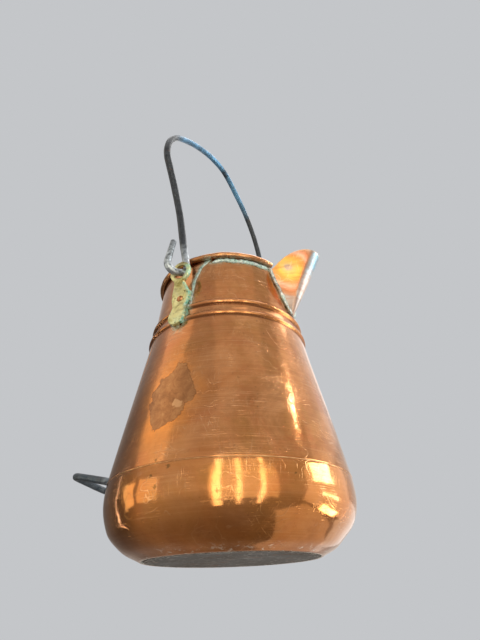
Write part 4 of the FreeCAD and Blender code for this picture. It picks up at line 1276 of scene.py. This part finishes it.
def rear_loop():
    tilt = math.radians(11.0)
    pts = []
    for d, w, l in LOOP:
        pts.append((92.6 + d * math.cos(tilt) - l * math.sin(tilt), w, 59.5 + d * math.sin(tilt) + l * math.cos(tilt)))
    Q = rounded(pts, [6, None, 11, 11, None, 6], 1.0)
    a = math.radians(184.5)
    ca, sa = math.cos(a), math.sin(a)
    x, y = Q[:, 0].copy(), Q[:, 1].copy()
    Q[:, 0], Q[:, 1] = x * ca - y * sa, x * sa + y * ca
    n = len(Q)
    k = fnoise(Q, 0.10, 2.0)
    k2 = fnoise(Q, 0.28, 6.0)
    u = x - 92.6
    free = np.clip((u - 6.0) / 8.0, 0, 1)

    def rad(i, n_, phi):
        return 2.94 * (1 + free[i] * (0.05 * k[i] * np.cos(2 * phi + 1) + 0.04 * k2[i] * np.cos(3 * phi) - 0.015)
                       - (1 - free[i]) * 0.0)
    # a faint painted blue reflection all along the loop
    return tube("loop_bar", Q, rad, M_IRON, "rear_loop", segs=24, body="tipping_loop",
                attrs={"blue_painted_reflection": np.full(n, 0.10), "wear": np.clip(0.75 - u / 12.0, 0.12, 0.7)}, sharp=75)


rear_loop()

# ---------------------------------------------------------------- stage
def area(name, loc, target, size, energy, color=(1, 1, 1), size_y=None, spread=None):
    L = bpy.data.lights.new(name, "AREA")
    L.energy = energy
    L.color = color
    L.size = size
    if size_y:
        L.shape = "RECTANGLE"
        L.size_y = size_y
    if spread:
        L.spread = spread
    o = bpy.data.objects.new(name, L)
    sc.collection.objects.link(o)
    o.location = loc
    o.rotation_mode = "QUATERNION"
    o.rotation_quaternion = (Vector(target) - Vector(loc)).to_track_quat("-Z", "Y")
    return o


def floor():
    me = bpy.data.meshes.new("studio_floor")
    h, z = 4.0, -0.0004
    me.from_pydata([(-h, -h, z), (h, -h, z), (h, h, z), (-h, h, z)], [], [(0, 1, 2, 3)])
    me.update()
    ob = bpy.data.objects.new("studio_floor", me)
    sc.collection.objects.link(ob)
    M = Mat("floor_pale", 0.0)
    n = M.noise(6.0, 3.0, 0.5)
    M.set("Base Color", M.ramp(n, [(0.3, C(206, 207, 209)), (0.7, C(216, 217, 218))]))
    M.set("Roughness", 0.7)
    tr = M.nt.nodes.new("ShaderNodeBsdfTransparent")
    mx = M.nt.nodes.new("ShaderNodeMixShader")
    ge = M.nt.nodes.new("ShaderNodeNewGeometry")
    M.nt.links.new(ge.outputs["Backfacing"], mx.inputs[0])
    M.nt.links.new(M.b.outputs[0], mx.inputs[1])
    M.nt.links.new(tr.outputs[0], mx.inputs[2])
    M.nt.links.new(mx.outputs[0], M.out.inputs[0])
    me.materials.append(M.m)
    ob.visible_glossy = False


floor()

w = bpy.data.worlds.new("studio")
sc.world = w
w.use_nodes = True
nt = w.node_tree
nt.nodes.clear()
wo = nt.nodes.new("ShaderNodeOutputWorld")
bg_c = nt.nodes.new("ShaderNodeBackground")
bg_g = nt.nodes.new("ShaderNodeBackground")
bg_c.inputs[0].default_value = C(196, 198, 201)
bg_c.inputs[1].default_value = 1.0
lp = nt.nodes.new("ShaderNodeLightPath")
tc = nt.nodes.new("ShaderNodeTexCoord")
sx = nt.nodes.new("ShaderNodeSeparateXYZ")
nt.links.new(tc.outputs["Generated"], sx.inputs[0])
mr = nt.nodes.new("ShaderNodeMapRange")
mr.inputs["From Min"].default_value = -1.0
mr.inputs["From Max"].default_value = 1.0
nt.links.new(sx.outputs[2], mr.inputs["Value"])
rp = nt.nodes.new("ShaderNodeValToRGB")
e = rp.color_ramp.elements
e[0].position, e[0].color = 0.0, (0.10, 0.085, 0.075, 1)
e[1].position, e[1].color = 1.0, (0.20, 0.20, 0.21, 1)
for p, c in ((0.30, (0.46, 0.42, 0.38, 1)), (0.46, (0.72, 0.68, 0.63, 1)), (0.60, (0.74, 0.72, 0.68, 1)),
             (0.80, (0.74, 0.72, 0.70, 1)), (0.90, (0.60, 0.60, 0.60, 1))):
    k = e.new(p)
    k.color = c
e[0].color = (0.26, 0.22, 0.19, 1)
nt.links.new(mr.outputs[0], rp.inputs[0])
# darker towards the back and left of the room
dv = nt.nodes.new("ShaderNodeVectorMath")
dv.operation = "DOT_PRODUCT"
dv.inputs[1].default_value = (-0.985, 0.10, 0.0)
nt.links.new(tc.outputs["Generated"], dv.inputs[0])
dm = nt.nodes.new("ShaderNodeMapRange")
dm.interpolation_type = "SMOOTHSTEP"
dm.inputs["From Min"].default_value = 0.62
dm.inputs["From Max"].default_value = 0.95
dm.inputs["To Min"].default_value = 1.0
dm.inputs["To Max"].default_value = 0.22
nt.links.new(dv.outputs["Value"], dm.inputs["Value"])
nt.links.new(rp.outputs[0], bg_g.inputs[0])
nt.links.new(dm.outputs[0], bg_g.inputs[1])
ms = nt.nodes.new("ShaderNodeMixShader")
nt.links.new(lp.outputs["Is Glossy Ray"], ms.inputs[0])
nt.links.new(bg_c.outputs[0], ms.inputs[1])
nt.links.new(bg_g.outputs[0], ms.inputs[2])
nt.links.new(ms.outputs[0], wo.inputs[0])

T0 = Vector((0.0, 0.0, 0.12))


def panel(name, az, el, dist, wdt, hgt, radiance, color=(1, 1, 1)):
    a, e_ = math.radians(az), math.radians(el)
    loc = T0 + Vector((math.cos(a) * math.cos(e_), math.sin(a) * math.cos(e_), math.sin(e_))) * dist
    o = area(name, loc, T0, wdt, radiance * math.pi * wdt * hgt, color, size_y=hgt)
    o.visible_camera = False
    return o


panel("soft_left", -138, 42, 1.7, 0.9, 1.0, 0.58, (1.0, 0.85, 0.60))
panel("soft_front", -38, 58, 1.8, 1.5, 0.8, 0.20, (1.0, 0.97, 0.93))
panel("window_a", -66, -6, 1.3, 0.15, 1.75, 3.0, (1.0, 0.99, 0.82))
panel("window_b", -49, -6, 1.3, 0.11, 1.75, 2.6, (1.0, 0.95, 0.74))
panel("window_c", -29, -5, 1.3, 0.11, 1.75, 2.6, (1.0, 0.96, 0.80))
panel("window_glow", -44, -2, 1.35, 1.5, 1.35, 0.62, (1.0, 0.90, 0.62))
panel("slot_right", 22, 35.4, 1.5, 0.030, 0.09, 95.0, (1.0, 1.0, 1.0))
panel("window_right_up", 31, 14, 1.3, 0.55, 0.34, 8.0, (0.80, 0.95, 1.0))
panel("window_right_mid", 38, -8, 1.3, 0.50, 0.10, 5.0, (0.92, 0.99, 1.0))
panel("window_right_low", 44, -27, 1.3, 0.50, 0.20, 10.0, (1.0, 0.97, 0.74))
panel("glow_right", 40, -4, 1.38, 1.5, 1.2, 0.62, (0.98, 0.97, 0.96))
panel("pale_right", 58, 36, 1.5, 1.3, 0.8, 0.45, (0.84, 0.93, 1.0))
panel("edge_right", 84, -16, 1.6, 0.9, 0.9, 0.75, (0.78, 0.92, 1.0))
panel("soft_low_right", 56, -52, 1.5, 2.2, 0.9, 0.45, (1.0, 0.95, 0.86))
panel("gold_left_a", -150, -1, 1.3, 0.30, 0.55, 1.3, (1.0, 0.97, 0.70))
panel("gold_left_b", -128, 0, 1.3, 0.46, 0.62, 0.85, (1.0, 0.95, 0.66))
panel("edge_left", -168, -6, 1.3, 0.014, 1.05, 8.0, (1.0, 0.99, 0.97))
panel("sky", 20, 86, 1.9, 1.5, 1.5, 1.1, (1.0, 0.99, 0.98))
panel("sky_back", 80, 62, 1.8, 1.8, 0.9, 2.2, (1.0, 0.98, 0.95))
panel("back_fill", 110, 35, 1.8, 1.2, 0.9, 0.6, (1.0, 0.98, 0.95))

# ---------------------------------------------------------------- camera
cam = bpy.data.cameras.new("cam")
cam.lens = 25.875
cam.sensor_width = 36.0
cam.clip_start = 0.01
co = bpy.data.objects.new("cam", cam)
sc.collection.objects.link(co)
r2 = Vector((0.8296839383, 0.5572902982, -0.0324358754))
u2 = Vector((0.3171072625, -0.4226903379, 0.8489851956))
fw = Vector((-0.4594208817, 0.7146750323, 0.5274201851))
m = Matrix((r2, u2, -fw)).transposed().to_4x4()
m.translation = Vector((0.20092589, -0.29085113, -0.0263105))
co.matrix_world = m
sc.camera = co
sc.view_settings.view_transform = "Standard"
